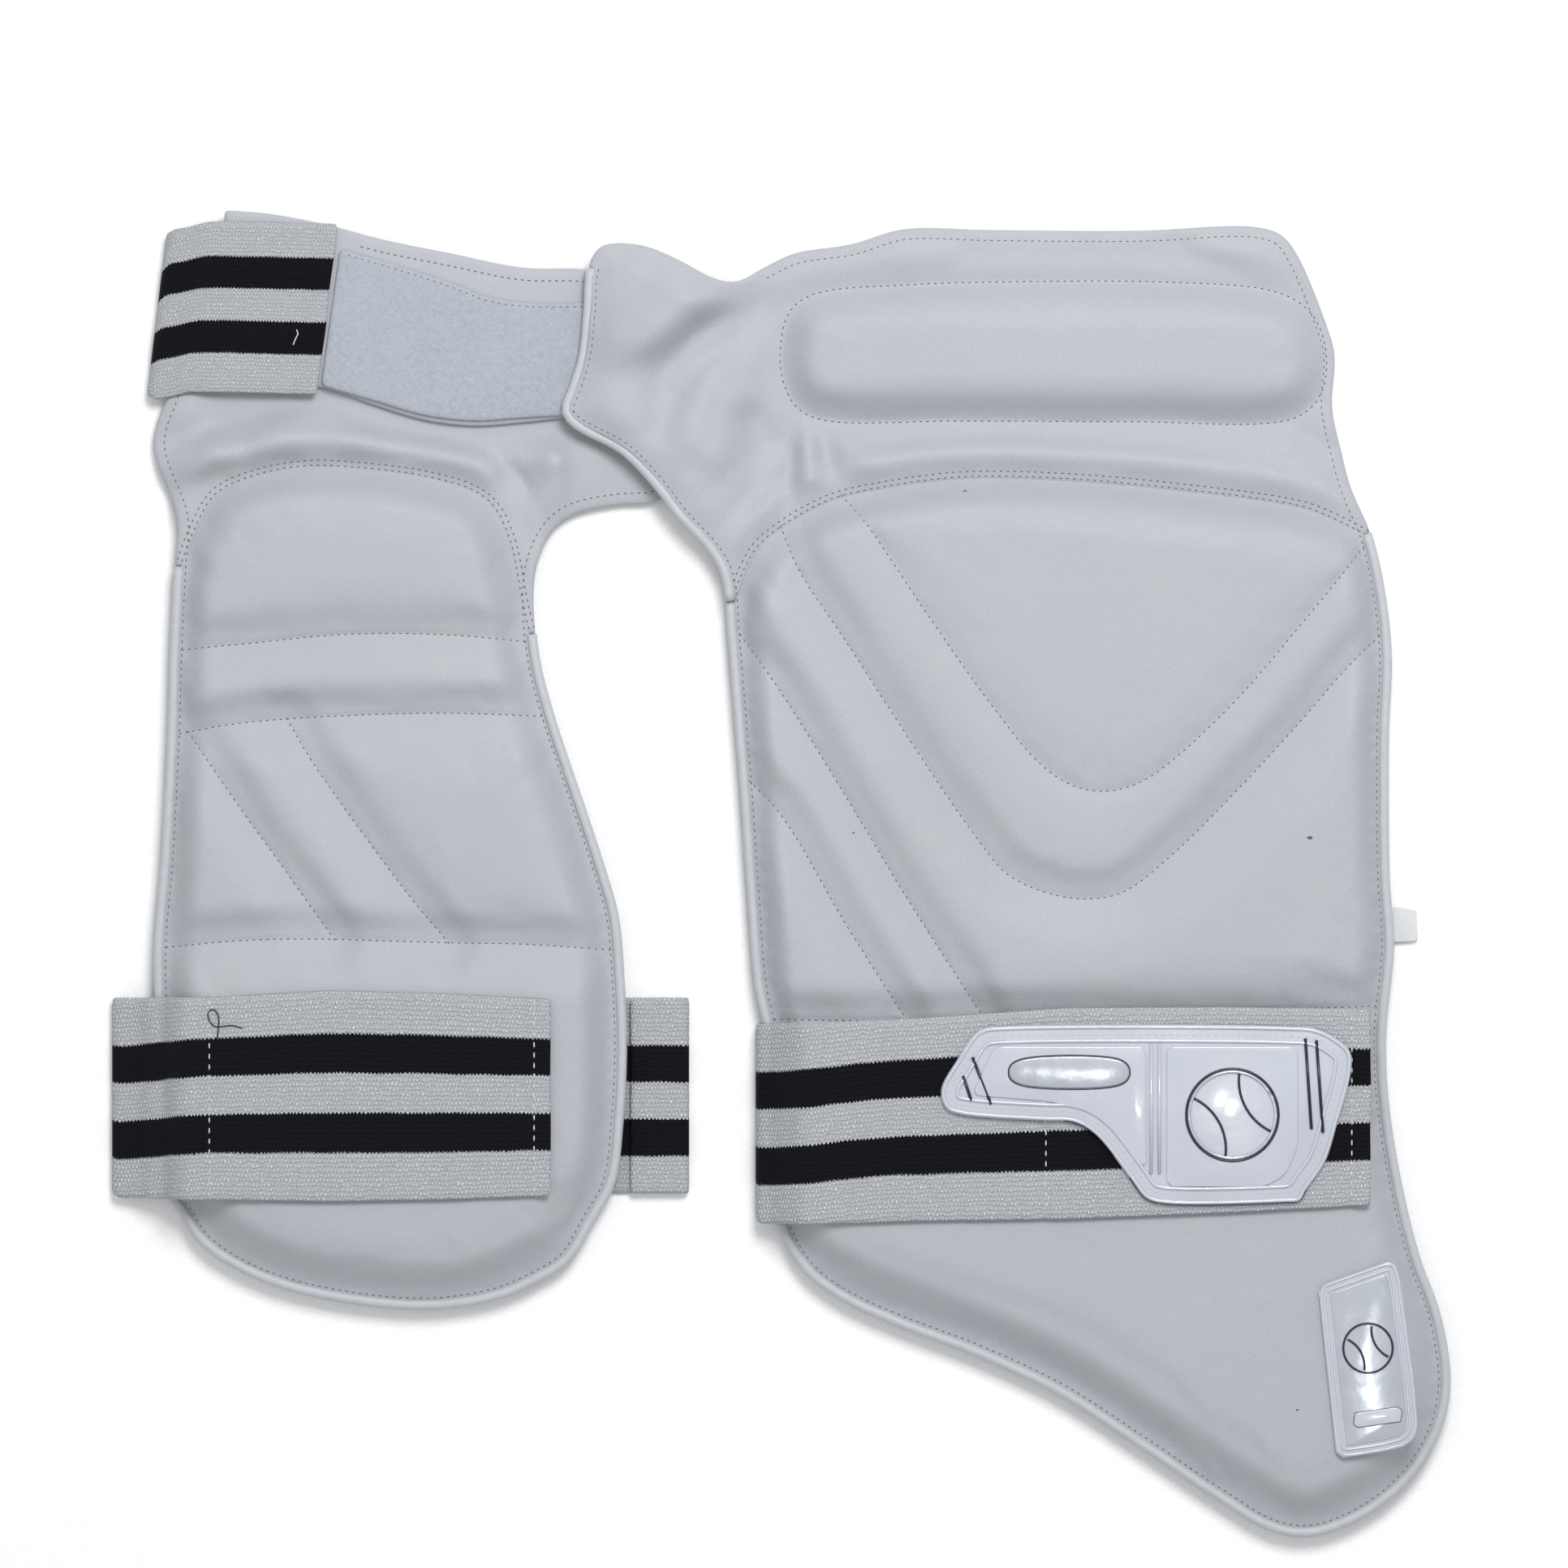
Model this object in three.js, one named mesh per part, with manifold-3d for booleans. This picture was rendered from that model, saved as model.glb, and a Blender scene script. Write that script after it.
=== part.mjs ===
import * as THREE from "three";
import { mergeVertices } from "three/addons/utils/BufferGeometryUtils.js";
import Module from "manifold-3d";

// A cricket thigh guard for the outer and the inner thigh, joined at the waist, lying flat with its
// front up. Lengths are millimetres. +X is to the right, +Y towards the waist and +Z up from the surface.

// Sizes of the outer guard
const outerPadWidth = 251;
const outerPadLength = 367;
const hipYokeHeight = 87;
const flapReach = 57;

// Sizes of the inner guard and its place beside the outer one
const innerPadWidth = 163.5;
const innerPadLength = 292;
const innerYokeHeight = 88.5;
const padSpacing = 34.5;
const innerPadRise = 78.5;

// Thicknesses of the layers
const strapThickness = 2;
const panelThickness = 2.4;
const foamThickness = 15;
const foamEdgeThickness = 2;
const channelThickness = 6.5;
const pinchThickness = 12.5;
const yokeThickness = 2.2;
const bandThickness = 2.5;
const loopThickness = 1.5;
const bolsterThickness = 12;
const tagThickness = 0.8;

// Seams, bevels and edges
const pipingDiameter = 3.2;
const hemWidth = 4.1;
const grooveWidth = 0.8;
const seamBevel = 10.5;
const pinchBevel = 4;
const sideBevel = 7;
const roundSideBevel = 9.8;
const tailBevel = 14;
const bolsterBevel = 7.5;
const panelTab = 7;
const climbGap = 2;
const climbLength = 5;
const clearance = 0.3;

// Straps
const thighStrapWidth = 68;
const waistElasticWidth = 57;
const outerStrapFrontLength = 211;
const innerStrapFrontLength = 152;
const innerStrapRightLoop = 21;
const innerStrapLeftLoop = 14.5;
const tagLength = 13;
const tagWidth = 13;

// Moulded badge and patch
const badgeLength = 141;
const badgeWidth = 61;
const badgeBaseThickness = 1.4;
const badgeReliefHeight = 0.9;
const badgeRimWidth = 3.4;
const mouldingOverlap = 0.2;
const patchLength = 69;
const patchWidth = 34;
const patchThickness = 1;
const patchReliefHeight = 0.5;

// How finely the soft forms are divided
const gridStep = 15;
const curvedSeamStep = 9;
const yokeStepAlong = 9;
const yokeStepAcross = 7.5;
const samplesPerPoint = 3;
const flapPipingSteps = 34;
const outerPipingSteps = 76;
const innerPipingSteps = 64;
const mergeDistance = 0.002;

// Levels of the layers, from the surface up
const panelBottom = strapThickness + clearance;
const panelTop = panelBottom + panelThickness;
const coverBottom = panelTop + clearance;
const coverTop = coverBottom + foamThickness;
const yokeBottom = panelBottom;
const bandBottom = yokeBottom + yokeThickness + clearance;
const bandTop = bandBottom + bandThickness;
const loopBottom = bandTop + clearance;
const loopTop = loopBottom + loopThickness;
const flapBottom = loopTop + clearance;

// Outline and seam tables. Each row is [across, along]. Across is a share of the pad's width, or of the
// flap's reach where it is negative. Along is a share of the pad's length, plus one of the yoke's height
// above it.
const outerOutline = [
  [-0.84, 1.826], [-0.76, 1.916], [-0.515, 1.923], [-0.294, 1.868], [-0.064, 1.79],
  [0.014, 1.777], [0.05, 1.832], [0.095, 1.894], [0.173, 1.929], [0.245, 1.99], [0.362, 1.987],
  [0.568, 1.984], [0.729, 2], [0.768, 1.968], [0.791, 1.884], [0.832, 1.6], [0.843, 1.487],
  [0.839, 1.277], [0.852, 1.1], [0.866, 0.987], [0.891, 0.947], [0.91, 0.89], [0.919, 0.829],
  [0.915, 0.76], [0.916, 0.623], [0.922, 0.558], [0.911, 0.474], [0.915, 0.409], [0.933, 0.333],
  [0.958, 0.264], [0.986, 0.211], [1, 0.146], [0.986, 0.1], [0.944, 0.053], [0.88, 0.018],
  [0.807, 0], [0.752, 0.005], [0.679, 0.034], [0.568, 0.085], [0.457, 0.134], [0.345, 0.17],
  [0.234, 0.199], [0.156, 0.224], [0.106, 0.251], [0.073, 0.291], [0.062, 0.34], [0.059, 0.455],
  [0.051, 0.484], [0.04, 0.516], [0.029, 0.608], [0.02, 0.699], [0.011, 0.776], [0.002, 0.852],
  [-0.025, 0.905], [-0.108, 0.928], [-0.294, 0.959], [-0.441, 0.989], [-0.637, 1.084],
  [-0.931, 1.19], [-1, 1.255], [-0.946, 1.358], [-0.892, 1.471], [-0.863, 1.648],
];
const outerArcRows = [
  [0.017, 0.882], [0.024, 0.909], [0.045, 0.934], [0.078, 0.953], [0.145, 0.978], [0.212, 0.989],
  [0.323, 0.999], [0.457, 0.998], [0.612, 0.989], [0.791, 0.972], [0.835, 0.961], [0.88, 0.944],
];
const upperVRows = [
  [0.165, 0.98], [0.189, 0.959], [0.278, 0.869], [0.367, 0.783], [0.434, 0.728], [0.479, 0.708],
  [0.523, 0.703], [0.568, 0.711], [0.612, 0.731], [0.702, 0.789], [0.791, 0.86], [0.88, 0.937],
];
const lowerVRows = [
  [0.078, 0.951], [0.1, 0.913], [0.167, 0.843], [0.256, 0.749], [0.345, 0.66], [0.39, 0.624],
  [0.457, 0.605], [0.501, 0.602], [0.546, 0.608], [0.612, 0.642], [0.702, 0.703], [0.791, 0.769],
  [0.857, 0.821], [0.914, 0.856],
];
const sideSeamRows = [[0.023, 0.86], [0.078, 0.795], [0.167, 0.697], [0.256, 0.596], [0.352, 0.493]];
const cornerSeamRows = [[0.033, 0.718], [0.078, 0.68], [0.167, 0.577], [0.254, 0.489]];
const strapSeamRows = [[0.056, 0.485], [0.234, 0.488], [0.457, 0.493], [0.679, 0.497], [0.915, 0.499]];
const tailTipRows = [[0.745, 0.01], [0.884, 0.026]];
const bolsterRows = [
  [0.122, 1.723], [0.256, 1.761], [0.434, 1.774], [0.612, 1.771], [0.746, 1.742], [0.791, 1.69],
  [0.818, 1.6], [0.829, 1.439], [0.818, 1.31], [0.791, 1.239], [0.746, 1.21], [0.568, 1.216],
  [0.323, 1.219], [0.134, 1.223], [0.1, 1.271], [0.08, 1.374], [0.076, 1.503], [0.089, 1.655],
];
const bolsterCornerRows = [[0.1, 1.69], [0.795, 1.68], [0.795, 1.245], [0.1, 1.271]];

const innerOutline = [
  [0.043, 1.547], [0.029, 1.282], [0.009, 1.193], [-0.003, 1.089], [0.012, 0.993], [0.031, 0.968],
  [0.05, 0.936], [0.045, 0.888], [0.036, 0.782], [0.031, 0.686], [0.017, 0.533], [0.002, 0.432],
  [0.005, 0.341], [0.012, 0.226], [0.034, 0.132], [0.058, 0.114], [0.094, 0.081], [0.183, 0.046],
  [0.32, 0.018], [0.568, 0], [0.731, 0.012], [0.825, 0.035], [0.885, 0.057], [0.937, 0.106],
  [0.979, 0.148], [0.998, 0.226], [1.005, 0.313], [1, 0.389], [0.988, 0.466], [0.962, 0.519],
  [0.92, 0.591], [0.885, 0.648], [0.851, 0.706], [0.822, 0.768], [0.81, 0.84], [0.817, 0.883],
  [0.851, 0.924], [0.894, 0.941], [0.988, 0.952], [1.07, 0.956], [1.115, 0.984], [1.116, 1.231],
  [1.057, 1.421], [0.856, 1.491], [0.577, 1.484], [0.363, 1.595],
];
const innerArcRows = [
  [0.065, 0.878], [0.086, 0.921], [0.132, 0.966], [0.2, 0.986], [0.32, 1], [0.44, 0.998],
  [0.577, 0.988], [0.68, 0.971], [0.723, 0.952], [0.757, 0.912], [0.783, 0.84], [0.791, 0.797],
];
const upperBandSeamRows = [[0.038, 0.778], [0.2, 0.789], [0.406, 0.8], [0.611, 0.8], [0.791, 0.787]];
const lowerBandSeamRows = [[0.031, 0.686], [0.2, 0.696], [0.406, 0.704], [0.611, 0.707], [0.834, 0.701]];
const lowSeamRows = [
  [0.012, 0.434], [0.2, 0.439], [0.372, 0.44], [0.611, 0.436], [0.8, 0.434], [0.971, 0.43],
];
const wedgeSeamRows = [[0.077, 0.685], [0.132, 0.641], [0.2, 0.586], [0.269, 0.533], [0.392, 0.44]];
const ribSeamRows = [[0.286, 0.699], [0.337, 0.653], [0.406, 0.597], [0.543, 0.493], [0.62, 0.437]];
const roundTipRows = [[0.45, 0.015], [0.68, 0.015]];

const bandUpperRows = [
  [0.152, 2], [0.252, 1.984], [0.368, 1.943], [0.491, 1.883], [0.628, 1.832], [0.783, 1.775],
  [0.911, 1.769], [1.057, 1.722],
];
const bandLowerRows = [
  [0.152, 1.294], [0.363, 1.304], [0.457, 1.244], [0.577, 1.177], [0.68, 1.155], [0.783, 1.168],
  [0.92, 1.193], [1.057, 1.193],
];
const loopUpperRows = [
  [0.41, 1.842], [0.543, 1.769], [0.646, 1.706], [0.714, 1.658], [0.817, 1.636], [1.039, 1.649],
];
const loopLowerRows = [
  [0.372, 1.311], [0.457, 1.26], [0.577, 1.196], [0.68, 1.174], [0.783, 1.186], [1.039, 1.212],
];

// Folds of the soft yokes. Each row is a crease or ridge from one point to another, in the outline's shares:
// rise is its height as a share of the yoke's thickness, below zero for a valley, and reach its half width
// as a share of the yoke's height.
const hipYokeFolds = [
  { from: [0.02, 1.77], to: [-0.34, 1.6], rise: 1.1, reach: 0.07 },
  { from: [-0.34, 1.6], to: [-0.54, 1.56], rise: 0.7, reach: 0.06 },
  { from: [0.03, 1.66], to: [-0.25, 1.47], rise: -0.8, reach: 0.07 },
  { from: [-0.25, 1.47], to: [-0.39, 1.21], rise: -0.7, reach: 0.08 },
  { from: [0.04, 1.22], to: [0.06, 1.2], rise: -0.9, reach: 0.1 },
  { from: [0.095, 1.21], to: [0.09, 0.99], rise: -0.9, reach: 0.06 },
  { from: [0.114, 1.2], to: [0.112, 1], rise: 0.9, reach: 0.05 },
  { from: [0.134, 1.15], to: [0.145, 1.03], rise: -0.8, reach: 0.05 },
  { from: [0.345, 1.88], to: [0.62, 1.88], rise: -0.6, reach: 0.06 },
  { from: [0.62, 1.88], to: [0.68, 1.81], rise: -0.5, reach: 0.06 },
  { from: [0.8, 1.16], to: [0.845, 1.08], rise: -0.9, reach: 0.08 },
  { from: [-0.75, 1.5], to: [-0.6, 1.15], rise: 0.6, reach: 0.12 },
];
const innerYokeFolds = [
  { from: [0.05, 0.97], to: [0.13, 0.985], rise: -0.9, reach: 0.06 },
  { from: [0.03, 1], to: [0.13, 1.06], rise: 1, reach: 0.05 },
  { from: [0.13, 1.06], to: [0.27, 1.14], rise: 0.9, reach: 0.06 },
  { from: [0.03, 1.04], to: [0.13, 1.12], rise: -0.8, reach: 0.06 },
  { from: [0.13, 1.12], to: [0.27, 1.21], rise: -0.6, reach: 0.06 },
  { from: [0.73, 1.04], to: [0.79, 0.94], rise: -0.9, reach: 0.06 },
  { from: [0.82, 1.1], to: [0.85, 0.97], rise: 0.9, reach: 0.06 },
];

// Badge outline and panels, as shares of the badge's length and width from its lower left corner
const badgeRows = [
  [0, 0.64], [0.012, 0.535], [0.042, 0.503], [0.248, 0.465], [0.323, 0.456], [0.376, 0.387], [0.459, 0.147],
  [0.497, 0.032], [0.535, 0], [0.838, 0.005], [0.875, 0.014], [0.891, 0.078], [0.937, 0.235],
  [0.966, 0.447], [1, 0.746], [0.998, 0.853], [0.966, 0.926], [0.913, 0.986], [0.838, 1], [0.156, 1],
  [0.103, 0.986], [0.079, 0.949], [0.042, 0.82],
];
const badgeLeftPanelRows = [
  [0.13, 0.885], [0.5, 0.885], [0.5, 0.19], [0.43, 0.385], [0.37, 0.51], [0.265, 0.575], [0.075, 0.61],
];
const badgeRightPanelRows = [
  [0.55, 0.885], [0.87, 0.885], [0.87, 0.32], [0.84, 0.16], [0.79, 0.095], [0.55, 0.095],
];

// Places of the trim, as shares like those of the outlines
const strapCentreLeft = 0.392;
const strapCentreRight = 0.407;
const innerStrapCentre = 0.254;
const badgePlace = [0.296, 0.317];
const patchPlace = [0.884, 0.161];
const patchTurnDegrees = 7;
const tagPlace = [0.92, 0.578];

// The two guards' frames: a table row becomes a point on the surface
const innerLeft = 0;
const outerLeft = innerLeft + innerPadWidth + padSpacing;
function onOuter([across, along]) {
  const x = across < 0 ? across * flapReach : across * outerPadWidth;
  const y = along < 1 ? along * outerPadLength : outerPadLength + (along - 1) * hipYokeHeight;
  return new THREE.Vector2(outerLeft + x, y);
}
function onInner([across, along]) {
  const y = along < 1 ? along * innerPadLength : innerPadLength + (along - 1) * innerYokeHeight;
  return new THREE.Vector2(innerLeft + across * innerPadWidth, innerPadRise + y);
}

// Lines are lists of 2-D points, measured along their length
function smooth(points, closed = false) {
  const path = points.map((point) => new THREE.Vector3(point.x, point.y, 0));
  const curve = new THREE.CatmullRomCurve3(path, closed, "centripetal");
  const line = curve.getPoints(points.length * samplesPerPoint);
  return line.map((point) => new THREE.Vector2(point.x, point.y));
}

function reaches(line) {
  const sums = [0];
  for (let i = 1; i < line.length; i += 1) sums.push(sums[i - 1] + line[i].distanceTo(line[i - 1]));
  return sums;
}

function lengthOf(line) {
  return reaches(line).at(-1);
}

function pointAt(line, share) {
  const sums = reaches(line);
  const target = THREE.MathUtils.clamp(share, 0, 1) * sums.at(-1);
  let i = 1;
  while (i < line.length - 1 && sums[i] < target) i += 1;
  const span = sums[i] - sums[i - 1];
  const part = span > 0 ? (target - sums[i - 1]) / span : 0;
  return line[i - 1].clone().lerp(line[i], part);
}

function nearestOn(line, point) {
  const sums = reaches(line);
  let best = { distance: Infinity, share: 0, point: line[0] };
  for (let i = 1; i < line.length; i += 1) {
    const start = line[i - 1];
    const step = line[i].clone().sub(start);
    const part = THREE.MathUtils.clamp(point.clone().sub(start).dot(step) / (step.lengthSq() || 1), 0, 1);
    const foot = start.clone().addScaledVector(step, part);
    const distance = foot.distanceTo(point);
    if (distance < best.distance) {
      const along = sums[i - 1] + part * (sums[i] - sums[i - 1]);
      best = { distance, share: along / sums.at(-1), point: foot };
    }
  }
  return best;
}

// The part of an open line between two shares, in that order
function stretch(line, from, to) {
  const sums = reaches(line);
  const low = Math.min(from, to);
  const high = Math.max(from, to);
  const inside = line.filter((point, i) => sums[i] > low * sums.at(-1) && sums[i] < high * sums.at(-1));
  const part = [pointAt(line, low), ...inside, pointAt(line, high)];
  return from <= to ? part : part.reverse();
}

function between(line, start, end) {
  return stretch(line, nearestOn(line, start).share, nearestOn(line, end).share);
}

// The shorter way round a closed line from one point to another
function around(ring, start, end) {
  const from = nearestOn(ring, start).share;
  const to = nearestOn(ring, end).share;
  if (Math.abs(to - from) <= 0.5) return stretch(ring, from, to);
  if (from > to) return join(stretch(ring, from, 1), stretch(ring, 0, to));
  return join(stretch(ring, from, 0), stretch(ring, 1, to));
}

function join(...lines) {
  const joined = [];
  for (const point of lines.flat()) {
    if (!joined.length || joined.at(-1).distanceTo(point) > 0.01) joined.push(point);
  }
  return joined;
}

// A seam whose ends are moved onto the lines that it starts and stops at
function seamFrom(points, startLine, endLine) {
  const ends = [nearestOn(startLine, points[0]).point, nearestOn(endLine, points.at(-1)).point];
  return smooth([ends[0], ...points.slice(1, -1), ends[1]]);
}

// Moves the corners of a closed ring inwards by one distance
function insetRing(ring, distance) {
  const turn = Math.sign(THREE.ShapeUtils.area(ring)) || 1;
  return ring.map((point, i) => {
    const before = ring.at(i - 1);
    const after = ring[(i + 1) % ring.length];
    const first = point.clone().sub(before).normalize();
    const second = after.clone().sub(point).normalize();
    const normal = new THREE.Vector2(-first.y - second.y, first.x + second.x).normalize();
    const lean = Math.max(0.2, normal.dot(new THREE.Vector2(-first.y, first.x)));
    return point.clone().addScaledVector(normal, (turn * distance) / lean);
  });
}

function insetLine(ring, distance) {
  const open = ring[0].distanceTo(ring.at(-1)) < 0.01 ? ring.slice(0, -1) : ring;
  const moved = insetRing(open, distance);
  return [...moved, moved[0].clone()];
}

// Shares along a side, close together over the bevels at its two ends
function stations(length, startBevel, endBevel, step) {
  const fit = Math.min(1, (0.8 * length) / (startBevel + endBevel));
  const start = startBevel * fit;
  const end = endBevel * fit;
  const middle = length - start - end;
  const count = Math.max(1, Math.round(middle / step));
  const marks = [0, 0.3 * start, 0.65 * start];
  for (let i = 0; i <= count; i += 1) marks.push(start + (middle * i) / count);
  marks.push(length - 0.65 * end, length - 0.3 * end, length);
  return marks.map((mark) => mark / length);
}

function evenly(length, step) {
  const count = Math.max(2, Math.round(length / step));
  return Array.from({ length: count + 1 }, (unused, i) => i / count);
}

// Moves the nearest mark to each sharp corner of two facing lines, so that the grid keeps the corner
function keepCorners(marks, ...lines) {
  const kept = [...marks];
  for (const line of lines) {
    const sums = reaches(line);
    for (let i = 1; i < line.length - 1; i += 1) {
      const before = line[i].clone().sub(line[i - 1]);
      const after = line[i + 1].clone().sub(line[i]);
      const cosine = before.dot(after) / (before.length() * after.length() || 1);
      const turn = Math.acos(THREE.MathUtils.clamp(cosine, -1, 1));
      if (turn < Math.PI / 6) continue;
      const share = sums[i] / sums.at(-1);
      const gaps = kept.slice(1, -1).map((mark) => Math.abs(mark - share));
      kept[gaps.indexOf(Math.min(...gaps)) + 1] = share;
    }
  }
  return kept.sort((a, b) => a - b);
}

// A grid of points inside four sides: left and right run the same way, as start and end do between them
function patchGrid({ left, right, start, end }, along, across) {
  const rows = along.map((u) => [pointAt(left, u), pointAt(right, u)]);
  const columns = across.map((v) => [pointAt(start, v), pointAt(end, v)]);
  const corners = [rows[0][0], rows[0][1], rows.at(-1)[0], rows.at(-1)[1]];
  return along.map((u, i) => across.map((v, j) => {
    const [leftPoint, rightPoint] = rows[i];
    const [startPoint, endPoint] = columns[j];
    const point = new THREE.Vector2();
    point.addScaledVector(leftPoint, 1 - v).addScaledVector(rightPoint, v);
    point.addScaledVector(startPoint, 1 - u).addScaledVector(endPoint, u);
    point.addScaledVector(corners[0], -(1 - u) * (1 - v)).addScaledVector(corners[1], -(1 - u) * v);
    return point.addScaledVector(corners[2], -u * (1 - v)).addScaledVector(corners[3], -u * v);
  }));
}

// Pulls the rim of a grid inwards, so that neighbours keep a gap along the seam that they share
function shrinkGrid(grid, distance) {
  const last = grid.length - 1;
  const width = grid[0].length - 1;
  const places = [];
  for (let i = 0; i < last; i += 1) places.push([i, 0]);
  for (let j = 0; j < width; j += 1) places.push([last, j]);
  for (let i = last; i > 0; i -= 1) places.push([i, width]);
  for (let j = width; j > 0; j -= 1) places.push([0, j]);
  const ring = [];
  const owner = places.map(([i, j]) => {
    const point = grid[i][j];
    if (!ring.length || ring.at(-1).distanceTo(point) > 0.05) ring.push(point.clone());
    return ring.length - 1;
  });
  const closes = ring[0].distanceTo(ring.at(-1)) <= 0.05;
  if (closes) ring.pop();
  const moved = insetRing(ring, distance);
  places.forEach(([i, j], k) => grid[i][j].copy(moved[owner[k] % ring.length]));
  return grid;
}

// A closed solid between a lower and an upper surface over one grid. A flat lower surface is given as
// its level.
function slab(grid, lower, upper) {
  const rows = grid.length;
  const columns = grid[0].length;
  const flat = typeof lower === "number";
  const lowerLevel = flat ? () => lower : lower;
  const points = [];
  const faces = [];
  for (const level of [lowerLevel, upper]) {
    for (const line of grid) {
      for (const point of line) points.push([point.x, point.y, level(point)]);
    }
  }
  const half = rows * columns;
  const at = (i, j) => i * columns + j;
  for (let i = 0; i < rows - 1; i += 1) {
    for (let j = 0; j < columns - 1; j += 1) {
      const [a, b, c, d] = [at(i, j), at(i + 1, j), at(i + 1, j + 1), at(i, j + 1)];
      faces.push([half + a, half + c, half + b], [half + a, half + d, half + c]);
      if (!flat) faces.push([a, b, c], [a, c, d]);
    }
  }
  const rim = [];
  for (let i = 0; i < rows - 1; i += 1) rim.push(at(i, 0));
  for (let j = 0; j < columns - 1; j += 1) rim.push(at(rows - 1, j));
  for (let i = rows - 1; i > 0; i -= 1) rim.push(at(i, columns - 1));
  for (let j = columns - 1; j > 0; j -= 1) rim.push(at(0, j));
  rim.forEach((a, i) => {
    const b = rim[(i + 1) % rim.length];
    faces.push([a, half + a, half + b], [a, half + b, b]);
  });
  if (flat) faces.push(...flatFaces(rows, columns, at));
  return solidFrom(points, faces);
}

// The triangles of a flat underside: fans at the two ends and one strip for each row between them
function flatFaces(rows, columns, at) {
  const faces = [];
  const last = columns - 1;
  for (let j = 0; j < last; j += 1) {
    faces.push([at(0, j), at(1, 0), at(0, j + 1)]);
    faces.push([at(rows - 1, j), at(rows - 1, j + 1), at(rows - 2, 0)]);
  }
  faces.push([at(1, 0), at(1, last), at(0, last)]);
  faces.push([at(rows - 2, 0), at(rows - 1, last), at(rows - 2, last)]);
  for (let i = 1; i < rows - 2; i += 1) {
    faces.push([at(i, 0), at(i + 1, 0), at(i + 1, last)], [at(i, 0), at(i + 1, last), at(i, last)]);
  }
  return faces;
}

// Merges equal points, drops empty triangles and turns the faces outwards
function solidFrom(points, faces) {
  const shared = new Map();
  const kept = [];
  const index = points.map((point) => {
    const key = point.map((value) => Math.round(value / mergeDistance)).join();
    if (!shared.has(key)) {
      shared.set(key, kept.length);
      kept.push(point);
    }
    return shared.get(key);
  });
  let volume = 0;
  const merged = faces.map((face) => face.map((i) => index[i]));
  const triangles = merged.filter(([a, b, c]) => a !== b && b !== c && a !== c);
  for (const [a, b, c] of triangles) {
    const [p, q, r] = [kept[a], kept[b], kept[c]].map((point) => new THREE.Vector3(...point));
    volume += p.dot(q.cross(r)) / 6;
  }
  if (volume < 0) triangles.forEach((face) => face.reverse());
  const geometry = new THREE.BufferGeometry();
  geometry.setAttribute("position", new THREE.Float32BufferAttribute(kept.flat(), 3));
  geometry.setIndex(triangles.flat());
  geometry.computeVertexNormals();
  return geometry;
}

// The height of a padded cover as it rises from its edge: steep first, then rounding onto the plateau
function swell(share) {
  return 1 - (1 - THREE.MathUtils.clamp(share, 0, 1)) ** 1.8;
}

// How a cell of the cover ends at a seam or an edge: the width of its bevel and the thickness left there
const channel = { bevel: seamBevel, thickness: channelThickness };
const pinch = { bevel: pinchBevel, thickness: pinchThickness };
const arcEdge = { bevel: seamBevel, thickness: foamEdgeThickness };
const sideEdge = { bevel: sideBevel, thickness: foamEdgeThickness };
const roundSideEdge = { bevel: roundSideBevel, thickness: foamEdgeThickness };
const tailEdge = { bevel: tailBevel, thickness: foamEdgeThickness };
const bolsterEdge = { bevel: bolsterBevel, thickness: foamEdgeThickness };

// A foam-filled cell of the cover: its bevels fall to the seams, each side with its own edge
function pillow(sides, ends, bottom, height, step = gridStep) {
  const alongLength = (lengthOf(sides.left) + lengthOf(sides.right)) / 2;
  const middle = patchGrid(sides, [0.5], [0, 1])[0];
  const middleLength = middle[0].distanceTo(middle[1]);
  const acrossLength = Math.max(middleLength, lengthOf(sides.start), lengthOf(sides.end));
  const marks = stations(alongLength, ends.start.bevel, ends.end.bevel, step);
  const along = keepCorners(marks, sides.left, sides.right);
  const across = stations(acrossLength, ends.left.bevel, ends.right.bevel, gridStep);
  const grid = shrinkGrid(patchGrid(sides, along, across), grooveWidth / 2);
  const rims = {
    left: grid.map((line) => line[0]),
    right: grid.map((line) => line.at(-1)),
    start: grid[0],
    end: grid.at(-1),
  };
  const named = Object.keys(rims).filter((name) => lengthOf(rims[name]) > 1);
  const edges = named.map((name) => ({ line: rims[name].map((point) => point.clone()), ...ends[name] }));
  const upper = (point) => {
    const heights = edges.map(({ line, bevel, thickness }) => {
      return thickness + (height - thickness) * swell(nearestOn(line, point).distance / bevel);
    });
    return bottom + Math.min(...heights);
  };
  return slab(grid, bottom, upper);
}

// The same foam height at a distance inside the outline, where a strap crosses the pad's edge
function coverHeight(inside, bevel) {
  if (inside < hemWidth) return coverBottom + pipingDiameter;
  const rise = (foamThickness - foamEdgeThickness) * swell((inside - hemWidth) / bevel);
  return Math.max(coverBottom + pipingDiameter, coverBottom + foamEdgeThickness + rise);
}

// A soft sheet of one thickness over a grid
function sheet(sides, [stepAlong, stepAcross], level, thickness, margin) {
  const alongLength = (lengthOf(sides.left) + lengthOf(sides.right)) / 2;
  const acrossLength = (lengthOf(sides.start) + lengthOf(sides.end)) / 2;
  const along = keepCorners(evenly(alongLength, stepAlong), sides.left, sides.right);
  const across = keepCorners(evenly(acrossLength, stepAcross), sides.start, sides.end);
  const grid = shrinkGrid(patchGrid(sides, along, across), margin);
  return slab(grid, level, (point) => level(point) + thickness);
}

// How much the folds lift or lower a sheet at a point
function foldHeight(point, folds, place, thickness, yokeHeight) {
  let height = 0;
  for (const { from, to, rise, reach } of folds) {
    const crease = [place(from), place(to)];
    const away = nearestOn(crease, point).distance / (reach * yokeHeight);
    height += rise * thickness * Math.exp(-away * away);
  }
  return height;
}

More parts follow.
